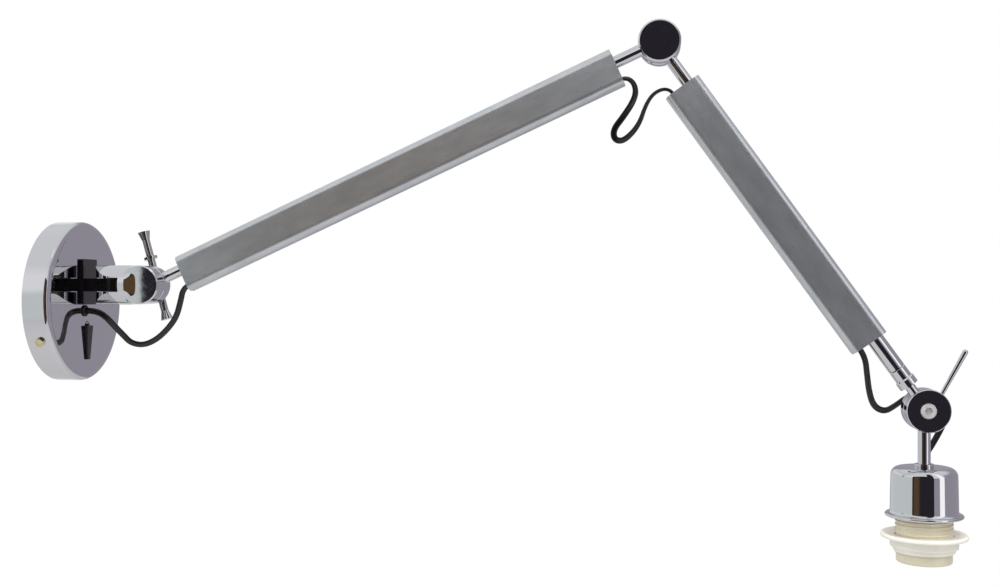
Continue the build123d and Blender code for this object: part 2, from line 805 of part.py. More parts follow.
top_plug_from = upper_tube_from + plug_in
end_plug_to = upper_tube_to - plug_in
end_plug_from = end_plug_to - sleeve_in
sleeve_from = end_plug_to - sleeve_in
sleeve_to = upper_tube_to + sleeve_out
collar_from = sleeve_to + face_gap
collar_to = collar_from + collar_len
spindle_to = upper_len - drum_r + rod_in

upper_top_rod = bar_between(
    upper, drum_r - rod_in + face_gap, top_plug_from + plug_len - rod_short, rod_dia
)
upper_top_rod.part.label = "upper_top_rod"
upper_tube = tube_between(upper, upper_tube_from, upper_tube_to, upper_rod_above)
upper_tube.part.label = "upper_tube"
upper_top_plug = plug_between(upper, top_plug_from, top_plug_from + plug_len, upper_rod_above, rod_dia)
upper_top_plug.part.label = "upper_top_plug"
upper_end_plug = plug_between(upper, end_plug_from, end_plug_to, upper_rod_above, sleeve_dia)
upper_end_plug.part.label = "upper_end_plug"
upper_tube_lead = lead_between(upper, top_plug_from, end_plug_to)
upper_tube_lead.part.label = "upper_tube_lead"

with BuildPart() as neck_sleeve:
    with BuildSketch(upper(sleeve_from)):
        Circle(sleeve_dia / 2)
    extrude(amount=sleeve_to - sleeve_from)
    chamfer(neck_sleeve.edges().sort_by(Axis.Z)[0], length=groove)
    with BuildSketch(upper(sleeve_from)):
        Circle(spindle_dia / 2 + running)
    extrude(amount=sleeve_to - sleeve_from, mode=Mode.SUBTRACT)
neck_sleeve.part.label = "neck_sleeve"

with BuildPart() as neck_collar:
    with BuildSketch(upper(collar_from)):
        Circle(sleeve_dia / 2)
    extrude(amount=collar_flare_at)
    chamfer(neck_collar.edges().sort_by(Axis.Z)[-1], length=groove)
    with BuildSketch(upper(collar_from + collar_flare_at)):
        Circle(sleeve_dia / 2)
    with BuildSketch(upper(collar_from + collar_flare_at + collar_step)):
        Circle(collar_flare_dia / 2)
    loft()
    with BuildSketch(upper(collar_from + collar_flare_at + collar_step)):
        Circle(collar_flare_dia / 2)
    extrude(amount=collar_flare_len)
    with BuildSketch(upper(collar_from)):
        Circle(spindle_dia / 2 + seat)
    extrude(amount=collar_len + collar_step, mode=Mode.SUBTRACT)
neck_collar.part.label = "neck_collar"

with BuildPart() as neck_spindle:
    with BuildSketch(upper(sleeve_from - spindle_out)):
        Circle(spindle_dia / 2)
    extrude(amount=spindle_to - face_gap - sleeve_from + spindle_out)
    with BuildSketch(upper(sleeve_from - face_gap - clip_t)):
        Circle(spindle_dia / 2)
        Circle(spindle_dia / 2 - clip_groove, mode=Mode.SUBTRACT)
    extrude(amount=clip_t, mode=Mode.SUBTRACT)
neck_spindle.part.label = "neck_spindle"

with BuildPart() as neck_clip:
    with BuildSketch(upper(sleeve_from - face_gap - clip_t + seat)):
        Circle(clip_dia / 2)
        Circle(spindle_dia / 2 - clip_groove + seat, mode=Mode.SUBTRACT)
        with Locations((0, clip_dia / 2)):
            Rectangle(spindle_dia / 2, clip_dia, mode=Mode.SUBTRACT)
    extrude(amount=clip_t - 2 * seat)
neck_clip.part.label = "neck_clip"

# ---------------------------------------------------------------- head joint and locking lever

lock_dir = Vector(cos(radians(lock_angle)), 0, sin(radians(lock_angle)))
lock_side = Vector(sin(radians(lock_angle)), 0, -cos(radians(lock_angle)))
head_near_disc = disc(across(head_at, head_near_y), drum_r, drum_half, head_bevel)
head_far_disc = disc(across(head_at, head_far_y), drum_r, drum_half, head_bevel)
cap_from = head_near_y + head_cap_sink
cap_to = cap_from + head_cap_h
head_bolt_to = head_far_y + drum_half - bolt_end - blind_spare


def lock_plane(along):
    """Plane across the locking lever, at a distance from the head joint's axis."""
    origin = Vector(head_x, upper_y, head_z) + lock_side * lock_aside + lock_dir * along
    return Plane(origin=origin, x_dir=(0, 1, 0), z_dir=lock_dir)


with BuildPart() as head_near_half:
    add(head_near_disc.part)
    with BuildSketch(upper(spindle_to)):
        Circle(spindle_dia / 2 + seat)
    extrude(amount=-2 * rod_in, mode=Mode.SUBTRACT)
    with BuildSketch(across(head_at, head_near_y)):
        Circle(head_bolt_dia / 2 + running)
    extrude(amount=drum_half, mode=Mode.SUBTRACT)
    with BuildSketch(across(head_at, head_near_y)):
        Circle(head_cap_dia / 2 + head_play)
    extrude(amount=head_cap_sink + head_cap_h + face_gap, mode=Mode.SUBTRACT)
    with BuildSketch(lock_plane(0)):
        Circle(lock_base_dia / 2 + running)
    extrude(amount=drum_dia, mode=Mode.SUBTRACT)
head_near_half.part.label = "head_near_half"

with BuildPart() as head_bolt:
    with BuildSketch(across(head_at, cap_from)):
        Circle(head_cap_dia / 2)
    extrude(amount=head_cap_h)
    chamfer(head_bolt.edges().filter_by(GeomType.CIRCLE).sort_by(Axis.Y)[0], length=head_bevel)
    with BuildSketch(across(head_at, cap_from)):
        Circle(head_bolt_dia / 2)
    extrude(amount=head_bolt_to - cap_from)
    with BuildSketch(across(head_at, cap_from)):
        RegularPolygon(socket_flats / 2, 6, major_radius=False)
    extrude(amount=socket_deep, mode=Mode.SUBTRACT)
head_bolt.part.label = "head_bolt"

with BuildPart() as head_washer:
    with BuildSketch(across(head_at, head_near_y + drum_half)):
        Circle(drum_r - washer_in)
        Circle(head_bolt_dia / 2 + running, mode=Mode.SUBTRACT)
    extrude(amount=drum_washer_t)
head_washer.part.label = "head_washer"

with BuildPart() as lock_lever:
    with BuildSketch(lock_plane(head_bolt_dia / 2 + lock_gap)):
        Circle(lock_base_dia / 2)
    extrude(amount=lock_cone_from - head_bolt_dia / 2 - lock_gap)
    with BuildSketch(lock_plane(lock_cone_from)):
        Circle(lock_base_dia / 2)
    with BuildSketch(lock_plane(lock_reach)):
        Circle(lock_tip_dia / 2)
    loft()
    fillet(lock_lever.edges().sort_by(Axis.Z)[-1], radius=lock_tip_round)
lock_lever.part.label = "lock_lever"

# ---------------------------------------------------------------- stem and cup

stem_plane_top = head_z - drum_r + rod_in
cup_low = cup_top - cup_h
inner_nut_low = cup_top - cup_wall - inner_nut_h
cap_top = inner_nut_low
cap_low = cap_top - cap_h
stem_low = cap_top - stem_in


def level(z):
    """Level plane on the head's axis, with its x along row +X and its y along row +Y."""
    return Plane(origin=(head_x, stem_y, z), x_dir=(1, 0, 0), z_dir=(0, 0, 1))


with BuildPart() as head_far_half:
    add(head_far_disc.part)
    with BuildSketch(level(stem_plane_top)):
        Circle(stem_dia / 2 + seat)
    extrude(amount=-2 * rod_in, mode=Mode.SUBTRACT)
    with BuildSketch(across(head_at, head_far_y)):
        Circle(head_bolt_dia / 2 + seat)
    extrude(amount=drum_half - bolt_end, mode=Mode.SUBTRACT)
head_far_half.part.label = "head_far_half"

with BuildPart() as stem:
    with BuildSketch(level(stem_low)):
        Circle(stem_dia / 2)
    extrude(amount=stem_plane_top - face_gap - stem_low)
stem.part.label = "stem"

with BuildPart() as stem_nuts:
    with BuildSketch(level(cup_top)):
        Circle(nut_dia / 2)
        Circle(stem_dia / 2 + seat, mode=Mode.SUBTRACT)
    extrude(amount=nut_h)
    chamfer(stem_nuts.edges().filter_by(GeomType.CIRCLE).sort_by(Axis.Z)[-1], length=head_bevel)
    with BuildSketch(level(inner_nut_low)):
        RegularPolygon(nut_dia / 2, 6, major_radius=False)
        Circle(stem_dia / 2 + seat, mode=Mode.SUBTRACT)
    extrude(amount=inner_nut_h)
stem_nuts.part.label = "stem_nuts"

section_plane = Plane(origin=(head_x, stem_y, 0), x_dir=(1, 0, 0), z_dir=(0, -1, 0))
head_axis = Axis((head_x, stem_y, 0), (0, 0, 1))
top_r = cup_top_dia / 2
low_r = cup_low_dia / 2
flange_r = flange_dia / 2
bend_z = cup_low + flange_t


def corner_at(sketch, radius, z):
    """The sketch's corner nearest to a radius and a height on the head's axis."""
    return sketch.vertices().sort_by_distance((head_x + radius, stem_y, z))[0]


with BuildPart() as cup:
    with BuildSketch(section_plane) as wall:
        with BuildLine():
            Polyline(
                (0, cup_top),
                (top_r, cup_top),
                (low_r, bend_z),
                (flange_r, bend_z),
                (flange_r, cup_low),
                (low_r - cup_wall, cup_low),
                (top_r - cup_wall, cup_top - cup_wall),
                (0, cup_top - cup_wall),
                close=True,
            )
        make_face()
        fillet(corner_at(wall, top_r, cup_top), cup_round)
        fillet(corner_at(wall, top_r - cup_wall, cup_top - cup_wall), cup_round - cup_wall)
        fillet(corner_at(wall, low_r, bend_z), flange_fillet)
        fillet(corner_at(wall, flange_r, bend_z), rim_round)
        fillet(corner_at(wall, flange_r, cup_low), rim_round)
    revolve(axis=head_axis)
    with BuildSketch(level(cup_top)):
        Circle(stem_dia / 2 + seat)
        with Locations((cup_lead_x, cup_lead_y)):
            Circle(grommet_dia / 2)
    extrude(amount=-2 * cup_wall, mode=Mode.SUBTRACT)
cup.part.label = "cup"


def grommet(outside, wall_t):
    """A lipped rubber bush; its plane lies on the outer face of the wall that it lines."""
    with BuildPart() as made:
        with BuildSketch(outside):
            Circle(grommet_lip_dia / 2)
        extrude(amount=grommet_lip)
        chamfer(made.edges().filter_by(GeomType.CIRCLE), length=grommet_edge)
        with BuildSketch(outside.offset(-wall_t)):
            Circle(grommet_dia / 2 - seat)
        extrude(amount=wall_t)
        with BuildSketch(outside.offset(-wall_t)):
            Circle(lead_dia / 2 + lead_play)
        extrude(amount=wall_t + grommet_lip, mode=Mode.SUBTRACT)
    return made


lead_exit = Plane(origin=(face_x, lead_exit_y, lead_exit_z), x_dir=(0, 1, 0), z_dir=(1, 0, 0))
cup_entry = Plane(
    origin=(head_x + cup_lead_x, stem_y + cup_lead_y, cup_top), x_dir=(1, 0, 0), z_dir=(0, 0, 1)
)
canopy_grommet = grommet(lead_exit, canopy_wall)
canopy_grommet.part.label = "canopy_grommet"
cup_grommet = grommet(cup_entry, cup_wall)
cup_grommet.part.label = "cup_grommet"

# ---------------------------------------------------------------- lampholder

holder_top = cap_low
crest_r = holder_root_dia / 2 + thread_depth
root_r = holder_root_dia / 2
bore_r = holder_bore_dia / 2
lip_r = lip_dia / 2
lip_top = holder_low + lip_h
shell_low = lip_top + shell_above_lip
shell_top = shell_low + shell_len
insert_low = shell_top + contact_rise


def ridges(top, bottom, pitch, inner, outer):
    """Outline points of rounded-off thread ridges, from the top down."""
    points = []
    count = int((top - bottom) / pitch)
    for turn in range(count):
        z = top - turn * pitch
        for mark, radius in zip(ridge_marks, (inner, outer, outer, inner)):
            points.append((radius, z - pitch * mark))
    return points


with BuildPart() as holder_cap:
    with BuildSketch(level(cap_low)):
        Circle(cap_dia / 2)
    extrude(amount=cap_h)
    chamfer(holder_cap.edges().filter_by(GeomType.CIRCLE).sort_by(Axis.Z)[-1], length=cap_edge)
    with BuildSketch(level(cap_top)):
        Circle(stem_dia / 2 + seat)
        with Locations((cup_lead_x, cup_lead_y)):
            Circle(lead_dia / 2 + lead_play)
    extrude(amount=-cap_h, mode=Mode.SUBTRACT)
holder_cap.part.label = "holder_cap"

with BuildPart() as holder_body:
    with BuildSketch(section_plane):
        with BuildLine():
            outline = [(root_r, holder_top)]
            outline += ridges(holder_top - thread_start, lip_top, thread_pitch, root_r, crest_r)
            outline += [(root_r, lip_top), (lip_r, lip_top - seat), (lip_r, holder_low + lip_edge)]
            outline += [(lip_r - lip_edge, holder_low), (mouth_dia / 2, holder_low)]
            outline += [(mouth_dia / 2, lip_top - thread_start), (bore_r, lip_top), (bore_r, holder_top)]
            Polyline(*outline, close=True)
        make_face()
    revolve(axis=head_axis)
holder_body.part.label = "holder_body"

with BuildPart() as holder_insert:
    with BuildSketch(level(insert_low)):
        Circle(bore_r - seat)
        with Locations((cup_lead_x, cup_lead_y)):
            Circle(lead_dia / 2 + lead_play, mode=Mode.SUBTRACT)
    extrude(amount=insert_t)
    with BuildSketch(level(shell_top)):
        Circle(bore_r - seat)
        Circle(contact_room_dia / 2, mode=Mode.SUBTRACT)
    extrude(amount=contact_rise)
holder_insert.part.label = "holder_insert"

shell_r = shell_dia / 2

with BuildPart() as thread_shell:
    with BuildSketch(section_plane):
        with BuildLine():
            turns = ridges(shell_top - thread_start, shell_low, shell_pitch, shell_r, shell_r + shell_depth)
            outer = [(shell_r + shell_wall, shell_low)]
            outer += [(r + shell_wall, z) for r, z in reversed(turns)]
            outer += [(shell_r + shell_wall, shell_top), (shell_r, shell_top)]
            Polyline(*outer, *turns, (shell_r, shell_low), close=True)
        make_face()
    revolve(axis=head_axis)
thread_shell.part.label = "thread_shell"

with BuildPart() as centre_contact:
    with BuildSketch(section_plane.offset(-contact_w / 2)):
        with BuildLine():
            Polyline(
                (-contact_w, insert_low),
                (contact_w, insert_low),
                (contact_w, insert_low - contact_t),
                (contact_w / 2, insert_low - contact_rise),
                (-contact_w / 4, insert_low - contact_rise),
                (-contact_w / 4, insert_low - contact_rise + contact_t),
                (contact_w / 2 - contact_t, insert_low - contact_rise + contact_t),
                (contact_w / 2, insert_low - contact_t),
                (-contact_w, insert_low - contact_t),
                close=True,
            )
        make_face()
    extrude(amount=contact_w)
centre_contact.part.label = "centre_contact"

with BuildPart() as holder_lead:
    with BuildSketch(cup_entry.offset(grommet_lip)):
        Circle(lead_dia / 2)
    extrude(amount=-(grommet_lip + cup_top - insert_low - insert_t / 2))
holder_lead.part.label = "holder_lead"

ring_r = ring_dia / 2
ring_bore = crest_r + ring_play
hub_low = ring_top - ring_rim - ring_hub_h

with BuildPart() as shade_ring:
    with BuildSketch(section_plane):
        with BuildLine():
            Polyline(
                (ring_bore, ring_top - ring_dish),
                (ring_hub_dia / 2, ring_top - ring_dish),
                (ring_r - 2 * ring_edge, ring_top),
                (ring_r, ring_top - ring_edge),
                (ring_r, ring_top - ring_rim + ring_edge),
                (ring_r - ring_edge, ring_top - ring_rim),
                (ring_hub_dia / 2, ring_top - ring_rim),
                (ring_hub_dia / 2, hub_low),
                (ring_end_dia / 2, hub_low - ring_taper_h),
                (ring_bore, hub_low - ring_taper_h),
                close=True,
            )
        make_face()
    revolve(axis=head_axis)
shade_ring.part.label = "shade_ring"

# ---------------------------------------------------------------- leads


def lead_along(name, points, dia):
    """A lead as straight runs joined by arcs, each arc as large as its two runs allow."""
    radii = []
    for before, here, after in zip(points, points[1:], points[2:]):
        back = Vector(*before) - Vector(*here)
        ahead = Vector(*after) - Vector(*here)
        turn = 180 - back.get_angle(ahead)
        shorter = min(back.length, ahead.length)
        radii.append(arc_part * shorter / tan(radians(turn / 2)))
    with BuildPart() as made:
        with BuildLine() as route:
            FilletPolyline(*points, radius=radii)
        path = route.wire()
        with BuildSketch(Plane(origin=path @ 0, z_dir=path % 0)):
            Circle(dia / 2)
        sweep(path=path)
    length = path.length
    expected = pi * dia**2 / 4 * length
    shortest = min(radii)
    print(name, "length", round(length, 1), "tightest radius", round(shortest, 1), end=" ")
    print("volume against section x length", round(made.part.volume / expected, 4))
    return made


base_start = arm_point(lead_exit.offset(grommet_lip), 0, 0)
base_end = arm_point(lower(root_plug_from), 0, -lead_below)
base_last = arm_point(lower(root_plug_from - lead_straight), 0, -lead_below)
loop_low = (61.5, 16.3, -31.5)
base_lower_points = [
    base_start,
    (27.6, -4.0, -7.2),
    (34.4, -1.6, -11.0),
    (39.6, 4.0, -19.3),
    (43.9, 9.4, -26.0),
    (48.0, 13.0, -31.8),
    (56.5, 16.2, -33.6),
    loop_low,
]
base_upper_points = [
    loop_low,
    (66.5, 16.4, -29.4),
    (76.4, 13.6, -21.6),
    (84.6, 10.8, -12.4),
    (88.8, 8.6, -1.0),
    base_last,
    base_end,
]
base_lead_lower = lead_along("base_lead_lower", base_lower_points, lead_dia)
base_lead_lower.part.label = "base_lead_lower"
base_lead_upper = lead_along("base_lead_upper", base_upper_points, lead_dia)
base_lead_upper.part.label = "base_lead_upper"

elbow_start = arm_point(lower(tip_plug_to), 0, -lead_below)
elbow_first = arm_point(lower(tip_plug_to + elbow_straight), 0, -lead_below)
elbow_last = arm_point(upper(top_plug_from - elbow_straight), 0, -lead_below)
elbow_end = arm_point(upper(top_plug_from), 0, -lead_below)
elbow_points = [
    elbow_start,
    elbow_first,
    (426.2, 6.8, 157.6),
    (427.9, 7.4, 150.8),
    (425.6, 8.2, 142.4),
    (418.6, 9.2, 132.0),
    (411.4, 10.2, 123.0),
    (412.0, 10.9, 116.0),
    (417.8, 11.6, 114.6),
    (425.0, 12.4, 120.6),
    (430.4, 13.2, 128.6),
    (434.0, 14.2, 139.6),
    (438.8, 15.2, 148.0),
    (445.6, 16.2, 152.3),
    elbow_last,
    elbow_end,
]
elbow_lead = lead_along("elbow_lead", elbow_points, lead_dia)
elbow_lead.part.label = "elbow_lead"

head_start = arm_point(upper(end_plug_to), 0, -lead_below)
head_first = arm_point(upper(end_plug_to + neck_straight), 0, -lead_below)
head_last = arm_point(cup_entry.offset(grommet_lip + lead_straight), 0, 0)
head_end = arm_point(cup_entry.offset(grommet_lip), 0, 0)
drum_back = (632.0, 42.6, -65.6)
head_upper_points = [
    head_start,
    head_first,
    (589.3, 19.4, -51.5),
    (591.2, 22.6, -64.0),
    (595.2, 27.4, -74.6),
    (603.6, 32.0, -78.8),
    (612.0, 36.4, -74.6),
    (619.5, 39.8, -69.4),
    (627.0, 42.0, -66.8),
    drum_back,
]
head_lower_points = [
    drum_back,
    (637.0, 43.2, -64.4),
    (645.0, 43.6, -68.6),
    (648.8, 43.2, -78.0),
    (647.2, 42.6, -87.0),
    (638.6, 41.0, -102.6),
    head_last,
    head_end,
]
head_lead_upper = lead_along("head_lead_upper", head_upper_points, lead_dia)
head_lead_upper.part.label = "head_lead_upper"
head_lead_lower = lead_along("head_lead_lower", head_lower_points, lead_dia)
head_lead_lower.part.label = "head_lead_lower"

block_face_z = block_mid.Z - block_l / 2
core_y = block_mid.Y - terminal_pitch / 2
lead_x = bracket_t + lead_above_bracket
wire_x = bracket_t + wire_above_bracket
canopy_points = [
    base_start,
    arm_point(lead_exit.offset(-lead_straight), 0, 0),
    (lead_x, 2.0, -7.6),
    (lead_x, 10.0, -6.4),
    (lead_x, core_y, -2.6),
    (lead_x, core_y, block_face_z),
]
canopy_lead = lead_along("canopy_lead", canopy_points, lead_dia)
canopy_lead.part.label = "canopy_lead"

with BuildPart() as switch_wires:
    for wire_y, rise in ((core_y + wire_step, 3.0), (core_y + 2 * wire_step, -1.5)):
        wire_z = case_z + rise
        wire_points = [
            (wire_x, switch_w / 2, wire_z),
            (wire_x, switch_w / 2 + wire_straight, wire_z),
            (wire_x, wire_y, wire_z + wire_straight),
            (wire_x, wire_y, block_face_z),
        ]
        wire = lead_along("switch_wire", wire_points, wire_dia)
        add(wire.part)
switch_wires.part.label = "switch_wires"

# ---------------------------------------------------------------- files

pieces = [
    canopy,
    wall_bracket,
    canopy_screws,
    terminal_block,
    terminal_screws,
    switch_body,
    switch_lever,
    hinge_foot,
    foot_screws,
    canopy_grommet,
    canopy_lead,
    switch_wires,
    fork_barrel,
    hinge_pin,
    hinge_washers,
    tilt_washer,
    clamp_screw,
    tommy_bar,
    tommy_ferrule,
    tilt_eye,
    lower_root_rod,
    lower_root_plug,
    lower_tube,
    lower_tip_plug,
    lower_tip_rod,
    lower_tube_lead,
    elbow_near_half,
    elbow_bolt,
    elbow_washer,
    elbow_far_half,
    upper_top_rod,
    upper_top_plug,
    upper_tube,
    upper_end_plug,
    upper_tube_lead,
    neck_sleeve,
    neck_collar,
    neck_spindle,
    neck_clip,
    head_near_half,
    lock_lever,
    head_far_half,
    head_bolt,
    head_washer,
    stem,
    stem_nuts,
    cup,
    cup_grommet,
    holder_cap,
    holder_body,
    holder_insert,
    thread_shell,
    centre_contact,
    holder_lead,
    shade_ring,
    base_lead_lower,
    base_lead_upper,
    elbow_lead,
    head_lead_upper,
    head_lead_lower,
]

os.makedirs("parts", exist_ok=True)
for piece in pieces:
    export_step(piece.part, f"parts/{piece.part.label}.step")
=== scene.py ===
"""Articulating wall lamp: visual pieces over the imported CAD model."""
import math

import bpy
from mathutils import Matrix, Vector


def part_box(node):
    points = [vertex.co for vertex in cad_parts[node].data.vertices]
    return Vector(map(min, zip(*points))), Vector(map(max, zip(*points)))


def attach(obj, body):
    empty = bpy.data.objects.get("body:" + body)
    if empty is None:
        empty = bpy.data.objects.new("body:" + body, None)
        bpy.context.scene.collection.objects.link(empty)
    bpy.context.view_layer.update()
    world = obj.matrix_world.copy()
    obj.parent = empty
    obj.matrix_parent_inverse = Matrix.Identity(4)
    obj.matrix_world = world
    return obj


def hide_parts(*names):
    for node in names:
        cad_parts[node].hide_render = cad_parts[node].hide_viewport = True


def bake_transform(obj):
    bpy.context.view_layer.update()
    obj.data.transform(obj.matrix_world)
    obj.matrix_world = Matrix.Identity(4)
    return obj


bl_info = {
    "name": "Articulating wall lamp",
    "version": (1, 0, 0),
    "blender": (4, 5, 0),
    "location": "View3D > Sidebar > Wall lamp",
    "description": "Builds the visual pieces of a swing-arm wall lamp on its CAD frame",
    "category": "Object",
}

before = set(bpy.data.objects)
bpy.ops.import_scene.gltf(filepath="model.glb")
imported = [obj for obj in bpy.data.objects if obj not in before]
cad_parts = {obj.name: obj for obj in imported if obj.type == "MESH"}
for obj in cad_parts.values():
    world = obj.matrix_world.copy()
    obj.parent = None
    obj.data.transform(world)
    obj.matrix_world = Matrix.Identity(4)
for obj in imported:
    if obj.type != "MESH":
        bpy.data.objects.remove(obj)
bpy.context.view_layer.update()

# places of the joints, in metres
TILT_X, TILT_Z = 0.0655, 0.012
ELBOW_X, ELBOW_Z = 0.4442, 0.1845
HEAD_X, HEAD_Y, HEAD_Z = 0.6299, 0.0276, -0.0763
LOWER_LEAN = math.atan2(ELBOW_Z - TILT_Z, ELBOW_X - TILT_X)
UPPER_LEAN = math.atan2(HEAD_Z - ELBOW_Z, HEAD_X - ELBOW_X)

# points closer than this are merged in the turned meshes
MERGE_WITHIN = 0.000002

# Routes of the free leads, in millimetres: the CAD solids' own points.
BASE_LEAD_LOWER = [
    (20.9, -4, -7.2), (27.6, -4, -7.2), (34.4, -1.6, -11.0), (39.6, 4, -19.3),
    (43.9, 9.4, -26.0), (48.0, 13.0, -31.8), (56.5, 16.2, -33.6), (61.5, 16.3, -31.5),
]
BASE_LEAD_UPPER = [
    (61.5, 16.3, -31.5), (66.5, 16.4, -29.4), (76.4, 13.6, -21.6), (84.6, 10.8, -12.4),
    (88.8, 8.6, -1.0), (91.97, 6.4, 10.10), (97.43, 6.4, 12.59),
]
ELBOW_LEAD = [
    (417.4, 6.4, 158.34), (420.8, 6.4, 159.2), (425.6, 6.8, 156.2), (427.7, 7.4, 149.8),
    (425.6, 8.2, 142.4), (418.6, 9.2, 132.0), (411.4, 10.2, 123.0), (412.0, 10.9, 116.0),
    (417.8, 11.6, 114.6), (425.0, 12.4, 120.6), (430.4, 13.2, 128.6), (434.0, 14.2, 139.6),
    (438.8, 15.2, 148.0), (445.6, 16.2, 152.3), (451.9, 17, 151.8), (454.3, 17, 148.4),
]
HEAD_LEAD_UPPER = [
    (583.5, 17, -32.9), (587.5, 17, -38.6), (589.3, 19.4, -51.5), (591.2, 22.6, -64.0),
    (595.2, 27.4, -74.6), (603.6, 32.0, -78.8), (612.0, 36.4, -74.6), (619.5, 39.8, -69.4),
    (627.0, 42.0, -66.8), (632.0, 42.6, -65.6),
]
HEAD_LEAD_LOWER = [
    (632.0, 42.6, -65.6), (637.0, 43.2, -64.4), (645.0, 43.6, -68.6), (648.8, 43.2, -78.0),
    (647.2, 42.6, -87.0), (638.6, 41.0, -102.6), (633.3, 38.8, -109.6), (633.3, 38.8, -115.6),
]


def linear(hex_colour):
    """Linear RGB of an sRGB hex value."""
    values = [int(hex_colour[i:i + 2], 16) / 255 for i in (1, 3, 5)]
    return [v / 12.92 if v <= 0.04045 else ((v + 0.055) / 1.055) ** 2.4 for v in values]


def colour_choice(label, note, hex_colour):
    """A colour that the user can change."""
    return bpy.props.FloatVectorProperty(
        name=label, description=note, subtype="COLOR", size=3, min=0, max=1,
        default=linear(hex_colour),
    )


def length_choice(label, note, metres):
    """A length that the user can change."""
    return bpy.props.FloatProperty(
        name=label, description=note, unit="LENGTH", min=0.0001, precision=4, default=metres,
    )


class LampSizes(bpy.types.PropertyGroup):
    """Sizes of the dressed pieces."""

    canopy_round_in: length_choice("Canopy round", "How far its front edge rounds inwards", 0.005)
    canopy_round_deep: length_choice("Canopy round depth", "The same, towards the wall", 0.0035)
    canopy_wall: length_choice("Canopy wall", "Thickness of the canopy's sheet", 0.0015)
    cup_round: length_choice("Cup shoulder", "Radius of the cup's top edge", 0.006)
    cup_wall: length_choice("Cup wall", "Thickness of the cup's sheet", 0.0012)
    thread_pitch: length_choice("Thread pitch", "Outside thread of the lampholder", 0.0028)
    thread_height: length_choice("Thread height", "Height of that thread", 0.0007)
    lead_width: length_choice("Lead width", "Broad side of the flat lead", 0.0046)
    lead_thick: length_choice("Lead thickness", "Narrow side of the flat lead", 0.0026)


class LampColours(bpy.types.PropertyGroup):
    """Colours of the finishes."""

    chrome: colour_choice("Chrome", "Plated steel", "#cfcfd3")
    aluminium: colour_choice("Aluminium", "Satin arm tubes", "#c6c9cc")
    aluminium_cloud: colour_choice("Aluminium clouding", "Darker patches of the tubes", "#b8bcc1")
    cream: colour_choice("Lampholder", "Cream moulding", "#dcd5bf")
    cream_deep: colour_choice("Lampholder, deeper", "Yellower patches of the moulding", "#d3cbb2")
    # painted light: the shade ring's cream drawn paler than the lampholder's, as if lit brighter
    ring_cream_painted_lit: colour_choice("Shade ring", "Paler moulding of the ring", "#f2efe6")
    black: colour_choice("Black plastic", "Switch lever and plugs", "#17161a")
    enamel: colour_choice("Black enamel", "Hinge foot on the canopy", "#0b0a0d")
    lead: colour_choice("Lead", "Sheath of the leads", "#0d0c0d")
    brass: colour_choice("Screw brass", "Small screws", "#c2b27a")


# ------------------------------------------------------------------ materials


def node(tree, kind, inputs=None, **settings):
    """Adds a node with its settings and links."""
    made = tree.nodes.new(kind)
    for key, value in settings.items():
        setattr(made, key, value)
    for name, value in (inputs or {}).items():
        socket = made.inputs[name]
        if isinstance(value, bpy.types.NodeSocket):
            tree.links.new(value, socket)
        else:
            socket.default_value = value
    return made


def ramp(tree, value, low, high, to_low=0.0, to_high=1.0):
    """A soft step of value between low and high."""
    return node(tree, "ShaderNodeMapRange", {
        "Value": value, "From Min": low, "From Max": high, "To Min": to_low, "To Max": to_high,
    }, interpolation_type="SMOOTHSTEP").outputs["Result"]


def mixed(tree, factor, a, b):
    """Colour a turning to colour b with factor."""
    mix = node(tree, "ShaderNodeMix", {"Factor": factor}, data_type="RGBA")
    ends = [s for s in mix.inputs if s.type == "RGBA"]
    for socket, value in zip(ends, (a, b)):
        if isinstance(value, bpy.types.NodeSocket):
            tree.links.new(value, socket)
        else:
            socket.default_value = value
    return [s for s in mix.outputs if s.type == "RGBA"][0]


def product(tree, *values):
    """All values multiplied."""
    result = values[0]
    for value in values[1:]:
        times = node(tree, "ShaderNodeMath", {0: result, 1: value}, operation="MULTIPLY")
        result = times.outputs[0]
    return result


def surface(name, colour, second, metallic, rough, patch_mm, grain_mm, bump_mm, turn=0.0,
            stretch=1.0):
    """A finish whose tone drifts in patches and whose roughness and bump follow a finer grain."""
    material = bpy.data.materials.new(name)
    material.use_nodes = True
    tree = material.node_tree
    tree.nodes.clear()
    place = node(tree, "ShaderNodeTexCoord").outputs["Object"]
    mapped = node(tree, "ShaderNodeMapping", {
        "Vector": place, "Rotation": (0, turn, 0),
    }).outputs["Vector"]
    drawn = node(tree, "ShaderNodeMapping", {
        "Vector": mapped, "Scale": (1 / stretch, 1, 1),
    }).outputs["Vector"]
    patches = node(tree, "ShaderNodeTexNoise", {
        "Vector": drawn, "Scale": 1000 / patch_mm, "Detail": 3.0, "Roughness": 0.6,
    }).outputs["Fac"]
    grain = node(tree, "ShaderNodeTexNoise", {
        "Vector": drawn, "Scale": 1000 / grain_mm, "Detail": 4.0, "Roughness": 0.65,
    }).outputs["Fac"]
    spread = node(tree, "ShaderNodeMapRange", {
        "Value": patches, "From Min": 0.35, "From Max": 0.65,
    }).outputs["Result"]
    shade = mixed(tree, spread, (*colour, 1), (*second, 1))
    roughness = node(tree, "ShaderNodeMapRange", {
        "Value": grain, "From Min": 0.3, "From Max": 0.7, "To Min": rough[0], "To Max": rough[1],
    }).outputs["Result"]
    bump = node(tree, "ShaderNodeBump", {
        "Height": grain, "Strength": 1.0, "Distance": bump_mm / 1000,
    }).outputs["Normal"]
    shader = node(tree, "ShaderNodeBsdfPrincipled", {
        "Base Color": shade, "Metallic": metallic, "Roughness": roughness, "Normal": bump,
    })
    node(tree, "ShaderNodeOutputMaterial", {"Surface": shader.outputs["BSDF"]})
    return material


